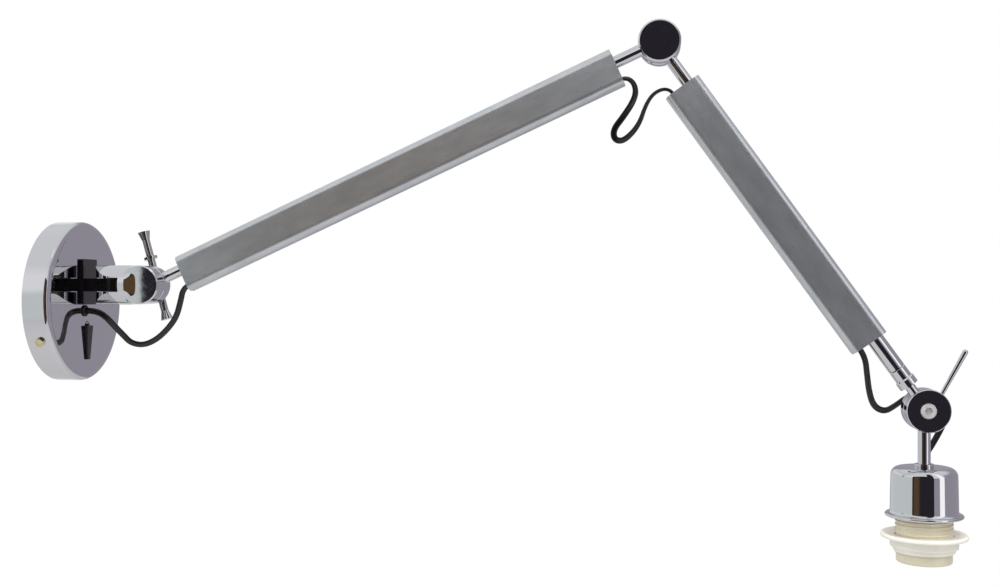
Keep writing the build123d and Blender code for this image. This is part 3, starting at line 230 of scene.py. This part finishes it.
def finish_recipes(c):
    """Every finish, with the sizes of its patches, grain and bump in real millimetres."""
    return {
        # bright nickel-chrome plate on polished steel: a mirror, with faint wiping haze
        "polished_chrome_plate": dict(
            colour=c.chrome, second=c.chrome, metallic=1.0, rough=(0.02, 0.06), patch_mm=14,
            grain_mm=5, bump_mm=0.004),
        # extruded, etched and anodised: soft grey with cloudy patches drawn out along the tube
        "satin_anodised_lower_tube": dict(
            colour=c.aluminium, second=c.aluminium_cloud, metallic=0.85, rough=(0.27, 0.36),
            patch_mm=9, grain_mm=1.2, bump_mm=0.01, turn=LOWER_LEAN, stretch=3.0),
        "satin_anodised_upper_tube": dict(
            colour=c.aluminium, second=c.aluminium_cloud, metallic=0.85, rough=(0.27, 0.36),
            patch_mm=9, grain_mm=1.2, bump_mm=0.01, turn=UPPER_LEAN, stretch=3.0),
        # moulded ABS: soft sheen, fine spark-eroded grain
        "moulded_black_abs": dict(
            colour=c.black, second=c.black, metallic=0.0, rough=(0.32, 0.5), patch_mm=8,
            grain_mm=0.6, bump_mm=0.02),
        # stoved black enamel on steel: smooth and shiny
        "stoved_black_enamel": dict(
            colour=c.enamel, second=c.enamel, metallic=0.0, rough=(0.12, 0.2), patch_mm=10,
            grain_mm=2.0, bump_mm=0.006),
        # extruded PVC sheath: dull black with a soft line of light
        "extruded_black_pvc": dict(
            colour=c.lead, second=c.lead, metallic=0.0, rough=(0.18, 0.28), patch_mm=10,
            grain_mm=0.8, bump_mm=0.015),
        # moulded rubber
        "moulded_black_rubber": dict(
            colour=c.lead, second=c.black, metallic=0.0, rough=(0.6, 0.8), patch_mm=4,
            grain_mm=0.5, bump_mm=0.03),
        # compression-moulded urea resin: cream and semi-gloss
        "moulded_cream_urea": dict(
            colour=c.cream, second=c.cream_deep, metallic=0.0, rough=(0.28, 0.42), patch_mm=12,
            grain_mm=0.9, bump_mm=0.008),
        # the same cream resin drawn paler for the ring: painted light, the ring coloured as if
        # lit brighter than the lampholder body
        "cream_urea_painted_lit": dict(
            colour=c.ring_cream_painted_lit, second=linear("#ebe7db"), metallic=0.0, rough=(0.26, 0.4),
            patch_mm=16, grain_mm=0.9, bump_mm=0.008),
        # turned and polished bolt steel
        "bright_bolt_steel": dict(
            colour=linear("#e2e2e0"), second=linear("#cfcfd1"), metallic=0.45, rough=(0.2, 0.34),
            patch_mm=4, grain_mm=0.6, bump_mm=0.008),
        # zinc-plated steel: greyer than chrome, finely matt
        "zinc_plated_steel": dict(
            colour=linear("#b9bbbf"), second=linear("#a9abb0"), metallic=1.0, rough=(0.28, 0.42),
            patch_mm=5, grain_mm=0.5, bump_mm=0.015),
        # turned brass screws under worn nickel
        "nickelled_brass_screw": dict(
            colour=c.brass, second=linear("#d8d4c0"), metallic=1.0, rough=(0.18, 0.32),
            patch_mm=2.5, grain_mm=0.6, bump_mm=0.015),
        # rolled and nickel-plated thread shell
        "rolled_nickel_shell": dict(
            colour=linear("#cfc9ba"), second=linear("#bdb6a5"), metallic=1.0, rough=(0.16, 0.28),
            patch_mm=5, grain_mm=1.0, bump_mm=0.01),
        # glazed porcelain insert
        "glazed_white_porcelain": dict(
            colour=linear("#e6e4de"), second=linear("#dedbd2"), metallic=0.0, rough=(0.08, 0.18),
            patch_mm=9, grain_mm=2.0, bump_mm=0.02),
        # moulded polyamide of the terminal block
        "moulded_pale_polyamide": dict(
            colour=linear("#d9d8d2"), second=linear("#cfcec6"), metallic=0.0, rough=(0.45, 0.6),
            patch_mm=6, grain_mm=0.7, bump_mm=0.02),
    }


made_materials = {}


def finish_of(name):
    """The material of that name, made once."""
    if name not in made_materials:
        recipe = finish_recipes(bpy.context.scene.lamp_colours)[name]
        made_materials[name] = surface(name, **recipe)
    return made_materials[name]


# ------------------------------------------------------------------ modelling helpers


def deselect():
    """Nothing selected, in object mode."""
    if bpy.context.object and bpy.context.object.mode != "OBJECT":
        bpy.ops.object.mode_set(mode="OBJECT")
    bpy.ops.object.select_all(action="DESELECT")


def pick(piece):
    """Only this object selected and active."""
    deselect()
    piece.select_set(True)
    bpy.context.view_layer.objects.active = piece


def turned(name, rings, segments=96):
    """Turns a closed outline about Z: a circle is extruded and resized from ring to ring."""
    deselect()
    radius, height = rings[0]
    bpy.ops.mesh.primitive_circle_add(vertices=segments, radius=radius, location=(0, 0, height))
    piece = bpy.context.object
    piece.name = name
    bpy.ops.object.mode_set(mode="EDIT")
    bpy.ops.mesh.select_all(action="SELECT")
    for next_radius, next_height in rings[1:]:
        grow = next_radius / radius
        bpy.ops.mesh.extrude_edges_move(
            TRANSFORM_OT_translate={"value": (0, 0, next_height - height)})
        bpy.ops.transform.resize(value=(grow, grow, 1), center_override=(0, 0, next_height))
        radius, height = next_radius, next_height
    bpy.ops.mesh.select_all(action="SELECT")
    bpy.ops.mesh.remove_doubles(threshold=MERGE_WITHIN)
    bpy.ops.mesh.normals_make_consistent(inside=False)
    bpy.ops.object.mode_set(mode="OBJECT")
    return piece


def arc(centre_r, centre_z, wide, high, start, end, steps):
    """Ring points along part of an ellipse, angles in degrees."""
    points = []
    for i in range(steps + 1):
        a = math.radians(start + (end - start) * i / steps)
        points.append((centre_r + wide * math.cos(a), centre_z + high * math.sin(a)))
    return points


def set_down(piece, place):
    """Puts the mesh at its place and leaves the object at the origin."""
    pick(piece)
    piece.matrix_world = place @ piece.matrix_world
    bpy.ops.object.transform_apply(location=True, rotation=True, scale=True)


def smooth(piece, degrees=32):
    """Smooth shading with sharp corners kept."""
    pick(piece)
    bpy.ops.object.shade_smooth_by_angle(angle=math.radians(degrees))


def dress(piece, body, slot, material, *nodes):
    """Material, body and the CAD nodes that a finished piece stands for."""
    piece.data.materials.clear()
    piece.data.materials.append(finish_of(material))
    if body:
        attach(piece, body)
    if nodes:
        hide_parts(*nodes)
    return piece


# ------------------------------------------------------------------ leads


def spline_points(name, route):
    """Points along the smooth NURBS line that has a route's points as its control points."""
    curve = bpy.data.curves.new(name + "_line", "CURVE")
    curve.dimensions = "3D"
    curve.resolution_u = 10
    spline = curve.splines.new("NURBS")
    spline.points.add(len(route) - 1)
    for point, (x, y, z) in zip(spline.points, route):
        point.co = (x / 1000, y / 1000, z / 1000, 1)
    spline.order_u = 3
    spline.use_endpoint_u = True
    line = bpy.data.objects.new(name + "_line", curve)
    bpy.context.scene.collection.objects.link(line)
    mesh = bpy.data.meshes.new_from_object(line)
    points = [v.co.copy() for v in mesh.vertices]
    bpy.data.meshes.remove(mesh)
    bpy.data.objects.remove(line)
    return points


def flat_lead(name, points, side, twist):
    """A flat two-core lead along points, and its broad direction at the end.

    side is that direction at the start, and twist how far the lead turns
    about its own line, in degrees.
    """
    sizes = bpy.context.scene.lamp_sizes
    half_w = sizes.lead_width / 2
    half_t = sizes.lead_thick / 2
    count = 24
    squareness = 0.8  # 1 is an oval, and less has fuller corners
    groove_depth = 0.3
    groove_width = 0.2
    outline = []
    for i in range(count):
        a = 2 * math.pi * i / count
        across = math.copysign(abs(math.cos(a)) ** squareness, math.cos(a))
        up = math.copysign(abs(math.sin(a)) ** squareness, math.sin(a))
        groove = 1 - groove_depth * math.exp(-(across / groove_width) ** 2)
        outline.append((across * half_w, up * half_t * groove))
    verts = []
    faces = []
    side = Vector(side)
    step = math.radians(twist) / (len(points) - 1)
    for i, point in enumerate(points):
        ahead = points[min(i + 1, len(points) - 1)] - points[max(i - 1, 0)]
        ahead.normalize()
        side = Matrix.Rotation(step, 3, ahead) @ side
        side = (side - ahead * side.dot(ahead)).normalized()
        up = ahead.cross(side)
        verts += [point + side * u + up * v for u, v in outline]
    for i in range(len(points) - 1):
        for k in range(count):
            here = i * count + k
            there = i * count + (k + 1) % count
            faces.append((here, there, there + count, here + count))
    faces.append(tuple(reversed(range(count))))
    last = (len(points) - 1) * count
    faces.append(tuple(range(last, last + count)))
    mesh = bpy.data.meshes.new(name)
    mesh.from_pydata(verts, [], faces)
    piece = bpy.data.objects.new(name, mesh)
    bpy.context.scene.collection.objects.link(piece)
    smooth(piece, 50)
    return piece, side


# ------------------------------------------------------------------ stage


CAMERA_PLACE = (0.4387, -0.8531, 0.006)
CAMERA_TURN = 7.2  # degrees to the left
CAMERA_LENS = 43.24
CAMERA_SENSOR = 36

# below the lowest point that the head reaches
FLOOR_Z = -0.8
FLOOR_MIDDLE = (0.3, 0, FLOOR_Z)
FLOOR_HALF = 1.6
# between these distances from its middle the floor fades to white
FADE_FROM = 0.35
FADE_TO = 0.85

CLOTH_Y = -0.63
# left, right, low and high edge of each cloth
CLOTHS = {
    "broad_cloth": (-0.206, 0.88, -0.36, 0.37),
    "tall_cloth": (0.62, 0.88, 0.37, 1.3),
}
UPRIGHT = Matrix.Rotation(math.radians(90), 4, "X")

# place, side and power of each lamp
SOFTBOXES = {
    "softbox_above_left": ((-0.7, -1.3, 1.7), 1.4, 22.0),
    "softbox_above_right": ((1.9, -0.9, 1.5), 1.2, 10.0),
    "softbox_over_elbow": ((0.66, -0.5, 0.8), 0.4, 5.0),
}
SOFTBOX_AIM = Vector((0.35, 0, 0.0))

WHITE = (1, 1, 1, 1)
PAPER = (0.66, 0.66, 0.66, 1)
CLOTH_BLACK = (0.026, 0.023, 0.030, 1)
CLOTH_BROWN = (0.120, 0.072, 0.034, 1)
PLAIN_LIGHT = (0.8, 0.8, 0.8, 1)
GREY_WALL = (0.385, 0.365, 0.415, 1)
PALE_WALL = (0.74, 0.78, 0.77, 1)
BRIGHT_WALL = (0.92, 0.94, 0.93, 1)
CEILING = (0.85, 0.86, 0.87, 1)
GROUND = (0.55, 0.54, 0.55, 1)
STRIP_LIGHT = (1.4, 1.4, 1.4, 1)


def flat_card(name, half_x, half_y):
    """A flat rectangle about the origin."""
    deselect()
    bpy.ops.mesh.primitive_grid_add(x_subdivisions=4, y_subdivisions=4, size=2)
    card = bpy.context.object
    card.name = name
    card.scale = (half_x, half_y, 1)
    bpy.ops.object.transform_apply(scale=True)
    return card


def empty_material(name):
    """A material with no nodes yet, never sampled as a lamp, as that only adds grain."""
    material = bpy.data.materials.new(name)
    material.use_nodes = True
    material.node_tree.nodes.clear()
    material.cycles.emission_sampling = "NONE"
    return material


def paper_material():
    """White paper that keeps a faint shadow, fades out to white and isn't there from below."""
    material = empty_material("matt_white_paper")
    tree = material.node_tree
    place = node(tree, "ShaderNodeTexCoord").outputs["Object"]
    from_middle = node(tree, "ShaderNodeVectorMath", {
        0: place, 1: FLOOR_MIDDLE}, operation="DISTANCE").outputs["Value"]
    matt = node(tree, "ShaderNodeBsdfDiffuse", {"Color": PAPER})
    plain = node(tree, "ShaderNodeEmission", {"Color": WHITE, "Strength": 1.0})
    sight = node(tree, "ShaderNodeLightPath").outputs["Is Camera Ray"]
    seen = product(tree, sight, ramp(tree, from_middle, FADE_FROM, FADE_TO, 0.9, 1.0))
    both = node(tree, "ShaderNodeMixShader", {0: seen, 1: matt.outputs[0], 2: plain.outputs[0]})
    gone = node(tree, "ShaderNodeBsdfTransparent")
    below = node(tree, "ShaderNodeNewGeometry").outputs["Backfacing"]
    sided = node(tree, "ShaderNodeMixShader", {0: below, 1: both.outputs[0], 2: gone.outputs[0]})
    node(tree, "ShaderNodeOutputMaterial", {"Surface": sided.outputs[0]})
    return material


def cloth_material():
    """Nearly black cloth with a brown stretch."""
    material = empty_material("dark_studio_cloth")
    tree = material.node_tree
    across = node(tree, "ShaderNodeSeparateXYZ", {
        0: node(tree, "ShaderNodeTexCoord").outputs["Object"]}).outputs["X"]
    brown = product(tree, ramp(tree, across, -0.12, -0.02), ramp(tree, across, 0.36, 0.2))
    colour = mixed(tree, brown, CLOTH_BLACK, CLOTH_BROWN)
    glow = node(tree, "ShaderNodeEmission", {"Color": colour, "Strength": 1.0})
    node(tree, "ShaderNodeOutputMaterial", {"Surface": glow.outputs[0]})
    return material


def studio_world():
    """White to the camera, plain light, and a room of pale and grey walls to mirrors."""
    world = bpy.data.worlds.new("studio")
    world.use_nodes = True
    tree = world.node_tree
    tree.nodes.clear()
    x, y, z = node(tree, "ShaderNodeSeparateXYZ", {
        0: node(tree, "ShaderNodeTexCoord").outputs["Generated"]}).outputs
    wall = mixed(tree, ramp(tree, x, -0.12, -0.34), GREY_WALL, PALE_WALL)
    bright = product(
        tree, ramp(tree, x, -0.3, -0.5), ramp(tree, z, 0.12, 0.24), ramp(tree, z, 0.5, 0.4))
    wall = mixed(tree, bright, wall, BRIGHT_WALL)
    over_cloth = product(tree, ramp(tree, y, -0.3, -0.5), ramp(tree, z, 0.2, 0.3))
    wall = mixed(tree, over_cloth, wall, WHITE)
    wall = mixed(tree, ramp(tree, z, 0.5, 0.75), wall, CEILING)
    wall = mixed(tree, ramp(tree, z, -0.35, -0.6), wall, GROUND)
    slant = node(tree, "ShaderNodeMath", {0: x, 1: y}, operation="DIVIDE").outputs[0]
    strip = product(
        tree, ramp(tree, slant, -0.86, -0.92), ramp(tree, slant, -1.8, -1.65),
        ramp(tree, x, 0.2, 0.3))
    wall = mixed(tree, strip, wall, STRIP_LIGHT)
    sight = node(tree, "ShaderNodeLightPath")
    mirrored = mixed(tree, sight.outputs["Is Glossy Ray"], PLAIN_LIGHT, wall)
    shown = mixed(tree, sight.outputs["Is Camera Ray"], mirrored, WHITE)
    ground = node(tree, "ShaderNodeBackground", {"Color": shown, "Strength": 1.0})
    node(tree, "ShaderNodeOutputWorld", {"Surface": ground.outputs[0]})
    return world


# ------------------------------------------------------------------ operators


class LAMP_OT_stage(bpy.types.Operator):
    """Floor, light, camera and view settings"""

    bl_idname = "lamp.stage"
    bl_label = "Stage"

    def execute(self, context):
        scene = context.scene
        scene.view_settings.view_transform = "Standard"
        camera_data = bpy.data.cameras.new("camera")
        camera_data.lens = CAMERA_LENS
        camera_data.sensor_width = CAMERA_SENSOR
        camera_data.clip_start = 0.01
        camera = bpy.data.objects.new("camera", camera_data)
        camera.location = CAMERA_PLACE
        camera.rotation_euler = (math.radians(90), 0, math.radians(CAMERA_TURN))
        scene.collection.objects.link(camera)
        scene.camera = camera

        floor = flat_card("floor", FLOOR_HALF, FLOOR_HALF)
        set_down(floor, Matrix.Translation(FLOOR_MIDDLE))
        floor.data.materials.append(paper_material())

        # dark cloths hung in front, a broad one and a tall one, that only mirrors see
        dark = cloth_material()
        for name, (left, right, low, high) in CLOTHS.items():
            cloth = flat_card(name, (right - left) / 2, (high - low) / 2)
            middle = ((left + right) / 2, CLOTH_Y, (low + high) / 2)
            set_down(cloth, Matrix.Translation(middle) @ UPRIGHT)
            cloth.data.materials.append(dark)
            for kind in ("camera", "diffuse", "shadow", "transmission", "volume_scatter"):
                setattr(cloth, "visible_" + kind, False)

        scene.world = studio_world()

        for name, (where, size, power) in SOFTBOXES.items():
            lamp = bpy.data.lights.new(name, "AREA")
            lamp.shape = "SQUARE"
            lamp.size = size
            lamp.energy = power
            holder = bpy.data.objects.new(name, lamp)
            holder.location = where
            aim = SOFTBOX_AIM - Vector(where)
            holder.rotation_euler = aim.to_track_quat("-Z", "Y").to_euler()
            holder.visible_glossy = False
            scene.collection.objects.link(holder)
        return {"FINISHED"}


class LAMP_OT_leads(bpy.types.Operator):
    """The five free stretches of flat lead"""

    bl_idname = "lamp.leads"
    bl_label = "Leads"

    def execute(self, context):
        side = None
        for name, route, first, second, start, end, fresh, twist in (
            ("base_lead_lower", BASE_LEAD_LOWER, "root", "fork",
             (0.024, -0.004, -0.0072), (0.056, 0.0162, -0.0336), (0.0, 0.25, 1.0), 40),
            ("base_lead_upper", BASE_LEAD_UPPER, "fork", "lower_arm",
             (0.0655, 0.0164, -0.0298), (0.094, 0.0064, 0.0112), None, 30),
            ("elbow_lead", ELBOW_LEAD, "lower_arm", "upper_arm",
             (0.4350, 0.0144, 0.1415), (0.4530, 0.0170, 0.1500), (0.0, 1.0, 0.5), 170),
            ("head_lead_upper", HEAD_LEAD_UPPER, "upper_arm", "neck",
             (0.5893, 0.0194, -0.0515), (0.6300, 0.0424, -0.0660), (0.9, 0.6, 0.4), 30),
            ("head_lead_lower", HEAD_LEAD_LOWER, "neck", "head",
             (0.642, 0.043, -0.068), (0.635, 0.039, -0.111), None, 0),
        ):
            points = spline_points(name, route)
            if fresh:
                side = fresh
            piece, side = flat_lead(name + "_flat", points, side, twist)
            dress(piece, None, "black_lead", "extruded_black_pvc", name)
            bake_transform(piece)
        return {"FINISHED"}


class LAMP_OT_canopy(bpy.types.Operator):
    """Spun canopy with its rounded front edge"""

    bl_idname = "lamp.canopy"
    bl_label = "Canopy"

    def execute(self, context):
        s = context.scene.lamp_sizes
        low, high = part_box("canopy")
        radius = (high.y - low.y) / 2
        depth = high.x
        bend_r = radius - s.canopy_round_in
        bend_z = depth - s.canopy_round_deep
        wall = s.canopy_wall
        pole = 0.000001
        mid_r = bend_r * 0.6
        inner_z = depth - wall
        rings = [(pole, depth), (mid_r, depth)]
        rings += arc(bend_r, bend_z, s.canopy_round_in, s.canopy_round_deep, 90, 0, 16)
        rings += [(radius, bend_z * 0.5), (radius, 0.0), (radius - wall, 0.0)]
        rings += arc(
            bend_r, bend_z, s.canopy_round_in - wall, s.canopy_round_deep - wall, 0, 90, 12)
        rings += [(mid_r, inner_z), (pole, inner_z)]
        piece = turned("canopy_shell", rings, 160)
        set_down(piece, Matrix.Rotation(math.radians(90), 4, "Y"))
        smooth(piece)
        dress(piece, "root", "chrome", "polished_chrome_plate", "canopy")
        return {"FINISHED"}


class LAMP_OT_cup(bpy.types.Operator):
    """Spun cup with its rolled flange"""

    bl_idname = "lamp.cup"
    bl_label = "Cup"

    def execute(self, context):
        s = context.scene.lamp_sizes
        low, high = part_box("cup")
        top = high.z
        flange_r = (high.x - low.x) / 2
        top_r = 0.0227
        low_r = 0.0232
        flange_t = 0.0022
        bend = low.z + flange_t
        wall = s.cup_wall
        roll = flange_t / 2
        fillet = 0.0026
        hole = 0.0045
        rings = [(hole, top), (top_r * 0.5, top)]
        rings += arc(top_r - s.cup_round, top - s.cup_round, s.cup_round, s.cup_round, 90, 0, 10)
        rings += [(top_r + 0.00025, (top + bend) / 2)]
        rings += arc(low_r + fillet, bend + fillet, -fillet, -fillet, 0, 90, 8)
        rings += arc(flange_r - roll, low.z + roll, roll, roll, 90, -90, 12)
        inner = s.cup_round - wall
        rings += arc(low_r - wall + roll, low.z + roll, -roll, -roll, 90, 0, 6)
        rings += arc(top_r - wall - inner, top - wall - inner, inner, inner, 0, 90, 8)
        rings += [(hole, top - wall), (hole, top)]
        piece = turned("cup_shell", rings, 128)
        set_down(piece, Matrix.Translation((HEAD_X, HEAD_Y, 0)))
        smooth(piece, 40)
        dress(piece, "head", "chrome", "polished_chrome_plate", "cup")
        return {"FINISHED"}


class LAMP_OT_lampholder(bpy.types.Operator):
    """Lampholder body with its outside thread"""

    bl_idname = "lamp.lampholder"
    bl_label = "Lampholder"

    def execute(self, context):
        s = context.scene.lamp_sizes
        low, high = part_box("holder_body")
        crest = (high.x - low.x) / 2
        root = crest - s.thread_height
        lip_top = low.z + 0.0034
        lip = root + 0.00005
        bore = 0.0155
        mouth = 0.0148
        edge = 0.0012
        rings = [(root, high.z), (root, lip_top), (lip, lip_top - 0.0001)]
        rings += arc(lip - edge, low.z + edge, edge, edge, 0, -90, 6)
        rings += arc(mouth + 0.0005, low.z + 0.0005, -0.0005, -0.0005, 90, 0, 4)
        rings += [(mouth, lip_top - 0.001), (bore, lip_top), (bore, high.z), (root, high.z)]
        body = turned("lampholder_body", rings, 120)

        deselect()
        pitch = s.thread_pitch
        thread_low = lip_top + 0.0006
        turns = int((high.z - thread_low) / pitch) - 1
        # the ridge's section is sunk into the body, narrowed at its crest and wound up
        sunk = 0.0004
        ridge_x = (root + crest) / 2 - sunk / 2
        ridge_z = thread_low + pitch * 0.4
        bpy.ops.mesh.primitive_plane_add(
            size=1, location=(ridge_x, 0, ridge_z), rotation=(math.radians(90), 0, 0))
        ridge = context.object
        ridge.scale = (s.thread_height + sunk, pitch * 0.75, 1)
        bpy.ops.object.transform_apply(location=True, rotation=True, scale=True)
        for vertex in ridge.data.vertices:
            vertex.select = vertex.co.x > ridge_x
        for line in ridge.data.edges:
            line.select = all(ridge.data.vertices[v].select for v in line.vertices)
        for face in ridge.data.polygons:
            face.select = False
        bpy.ops.object.mode_set(mode="EDIT")
        bpy.ops.transform.resize(value=(1, 1, 0.35), center_override=(crest, 0, ridge_z))
        bpy.ops.mesh.select_all(action="SELECT")
        bpy.ops.mesh.delete(type="ONLY_FACE")
        bpy.ops.object.mode_set(mode="OBJECT")
        winding = ridge.modifiers.new("winding", "SCREW")
        winding.axis = "Z"
        winding.screw_offset = pitch
        winding.iterations = turns
        winding.steps = 64
        winding.render_steps = 64
        winding.use_smooth_shade = True
        pick(ridge)
        bpy.ops.object.modifier_apply(modifier="winding")
        bpy.ops.object.mode_set(mode="EDIT")
        bpy.ops.mesh.select_all(action="SELECT")
        bpy.ops.mesh.remove_doubles(threshold=MERGE_WITHIN)
        bpy.ops.mesh.fill_holes(sides=4)
        bpy.ops.mesh.select_all(action="SELECT")
        bpy.ops.mesh.normals_make_consistent(inside=False)
        bpy.ops.object.mode_set(mode="OBJECT")
        deselect()
        ridge.select_set(True)
        body.select_set(True)
        context.view_layer.objects.active = body
        bpy.ops.object.join()
        set_down(body, Matrix.Translation((HEAD_X, HEAD_Y, 0)))
        smooth(body, 35)
        dress(body, "head", "cream_plastic", "moulded_cream_urea", "holder_body")
        return {"FINISHED"}


class LAMP_OT_shade_ring(bpy.types.Operator):
    """Shade ring with soft edges and a stepped hub"""

    bl_idname = "lamp.shade_ring"
    bl_label = "Shade ring"

    def execute(self, context):
        low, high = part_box("shade_ring")
        rim = (high.x - low.x) / 2
        top = high.z
        bore = 0.02005
        hub = 0.0232
        under = top - 0.003
        sunk = top - 0.0012
        edge = 0.0012
        fillet = 0.0008
        corner = 0.001
        rings = [(bore, sunk), (hub - 0.001, sunk), (hub + 0.0004, top - 0.0009)]
        rings += [(rim - 0.0022, top - 0.0002)]
        rings += arc(rim - edge, top - edge, edge, edge, 90, 0, 6)
        rings += arc(rim - edge, under + edge, edge, edge, 0, -90, 6)
        rings += [(hub + 0.0012, under)]
        rings += arc(hub + fillet, under - fillet, -fillet, fillet, 90, 0, 4)
        rings += [(hub, under - 0.0055)]
        rings += arc(hub - corner, under - 0.0058, corner, corner, 0, -90, 5)
        rings += [(0.0212, under - 0.0070), (0.0209, low.z + 0.0006), (0.0205, low.z)]
        rings += [(bore, low.z), (bore, sunk)]
        piece = turned("shade_ring_moulded", rings, 120)
        set_down(piece, Matrix.Translation((HEAD_X, HEAD_Y, 0)))
        smooth(piece, 40)
        dress(piece, "ring", "cream_plastic", "cream_urea_painted_lit", "shade_ring")
        return {"FINISHED"}


NODE_FINISHES = {
    "polished_chrome_plate": (
        "fork_barrel", "hinge_pin", "clamp_screw", "tommy_bar", "tommy_ferrule", "tilt_eye",
        "lower_root_rod", "lower_tip_rod", "elbow_near_half", "elbow_far_half", "upper_top_rod",
        "neck_sleeve", "neck_collar", "neck_spindle", "head_near_half", "lock_lever",
        "head_far_half", "stem", "stem_nuts"),
    "satin_anodised_lower_tube": ("lower_tube",),
    "satin_anodised_upper_tube": ("upper_tube",),
    "moulded_black_abs": (
        "switch_body", "switch_lever", "lower_root_plug", "lower_tip_plug", "upper_top_plug",
        "upper_end_plug"),
    "stoved_black_enamel": ("hinge_foot",),
    "extruded_black_pvc": (
        "canopy_lead", "switch_wires", "lower_tube_lead", "upper_tube_lead", "holder_lead"),
    "moulded_black_rubber": ("canopy_grommet", "cup_grommet"),
    "moulded_cream_urea": ("holder_cap",),
    "zinc_plated_steel": (
        "wall_bracket", "foot_screws", "hinge_washers", "tilt_washer", "elbow_bolt",
        "elbow_washer", "neck_clip", "head_washer"),
    "bright_bolt_steel": ("head_bolt",),
    "nickelled_brass_screw": ("canopy_screws", "terminal_screws", "centre_contact"),
    "rolled_nickel_shell": ("thread_shell",),
    "glazed_white_porcelain": ("holder_insert",),
    "moulded_pale_polyamide": ("terminal_block",),
}


class LAMP_OT_finishes(bpy.types.Operator):
    """Finishes of the CAD pieces that are shown as they are"""

    bl_idname = "lamp.finishes"
    bl_label = "Finishes"

    def execute(self, context):
        for name, members in NODE_FINISHES.items():
            for member in members:
                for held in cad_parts[member].material_slots:
                    held.material = finish_of(name)
        return {"FINISHED"}


class LAMP_PT_panel(bpy.types.Panel):
    """Pieces, sizes and colours of the wall lamp"""

    bl_idname = "LAMP_PT_panel"
    bl_label = "Wall lamp"
    bl_space_type = "VIEW_3D"
    bl_region_type = "UI"
    bl_category = "Wall lamp"

    def draw(self, context):
        column = self.layout.column()
        for operator in OPERATORS:
            column.operator(operator.bl_idname)
        for group in (context.scene.lamp_sizes, context.scene.lamp_colours):
            for key in group.__annotations__:
                column.prop(group, key)


OPERATORS = (
    LAMP_OT_stage,
    LAMP_OT_leads,
    LAMP_OT_canopy,
    LAMP_OT_cup,
    LAMP_OT_lampholder,
    LAMP_OT_shade_ring,
    LAMP_OT_finishes,
)
CLASSES = (LampSizes, LampColours, *OPERATORS, LAMP_PT_panel)


def register():
    for made in CLASSES:
        bpy.utils.register_class(made)
    bpy.types.Scene.lamp_sizes = bpy.props.PointerProperty(type=LampSizes)
    bpy.types.Scene.lamp_colours = bpy.props.PointerProperty(type=LampColours)


def unregister():
    del bpy.types.Scene.lamp_colours
    del bpy.types.Scene.lamp_sizes
    for made in reversed(CLASSES):
        bpy.utils.unregister_class(made)


def main():
    """Builds every piece in order."""
    register()
    bpy.ops.lamp.stage()
    bpy.ops.lamp.leads()
    bpy.ops.lamp.canopy()
    bpy.ops.lamp.cup()
    bpy.ops.lamp.lampholder()
    bpy.ops.lamp.shade_ring()
    bpy.ops.lamp.finishes()


if __name__ == "__main__":
    main()
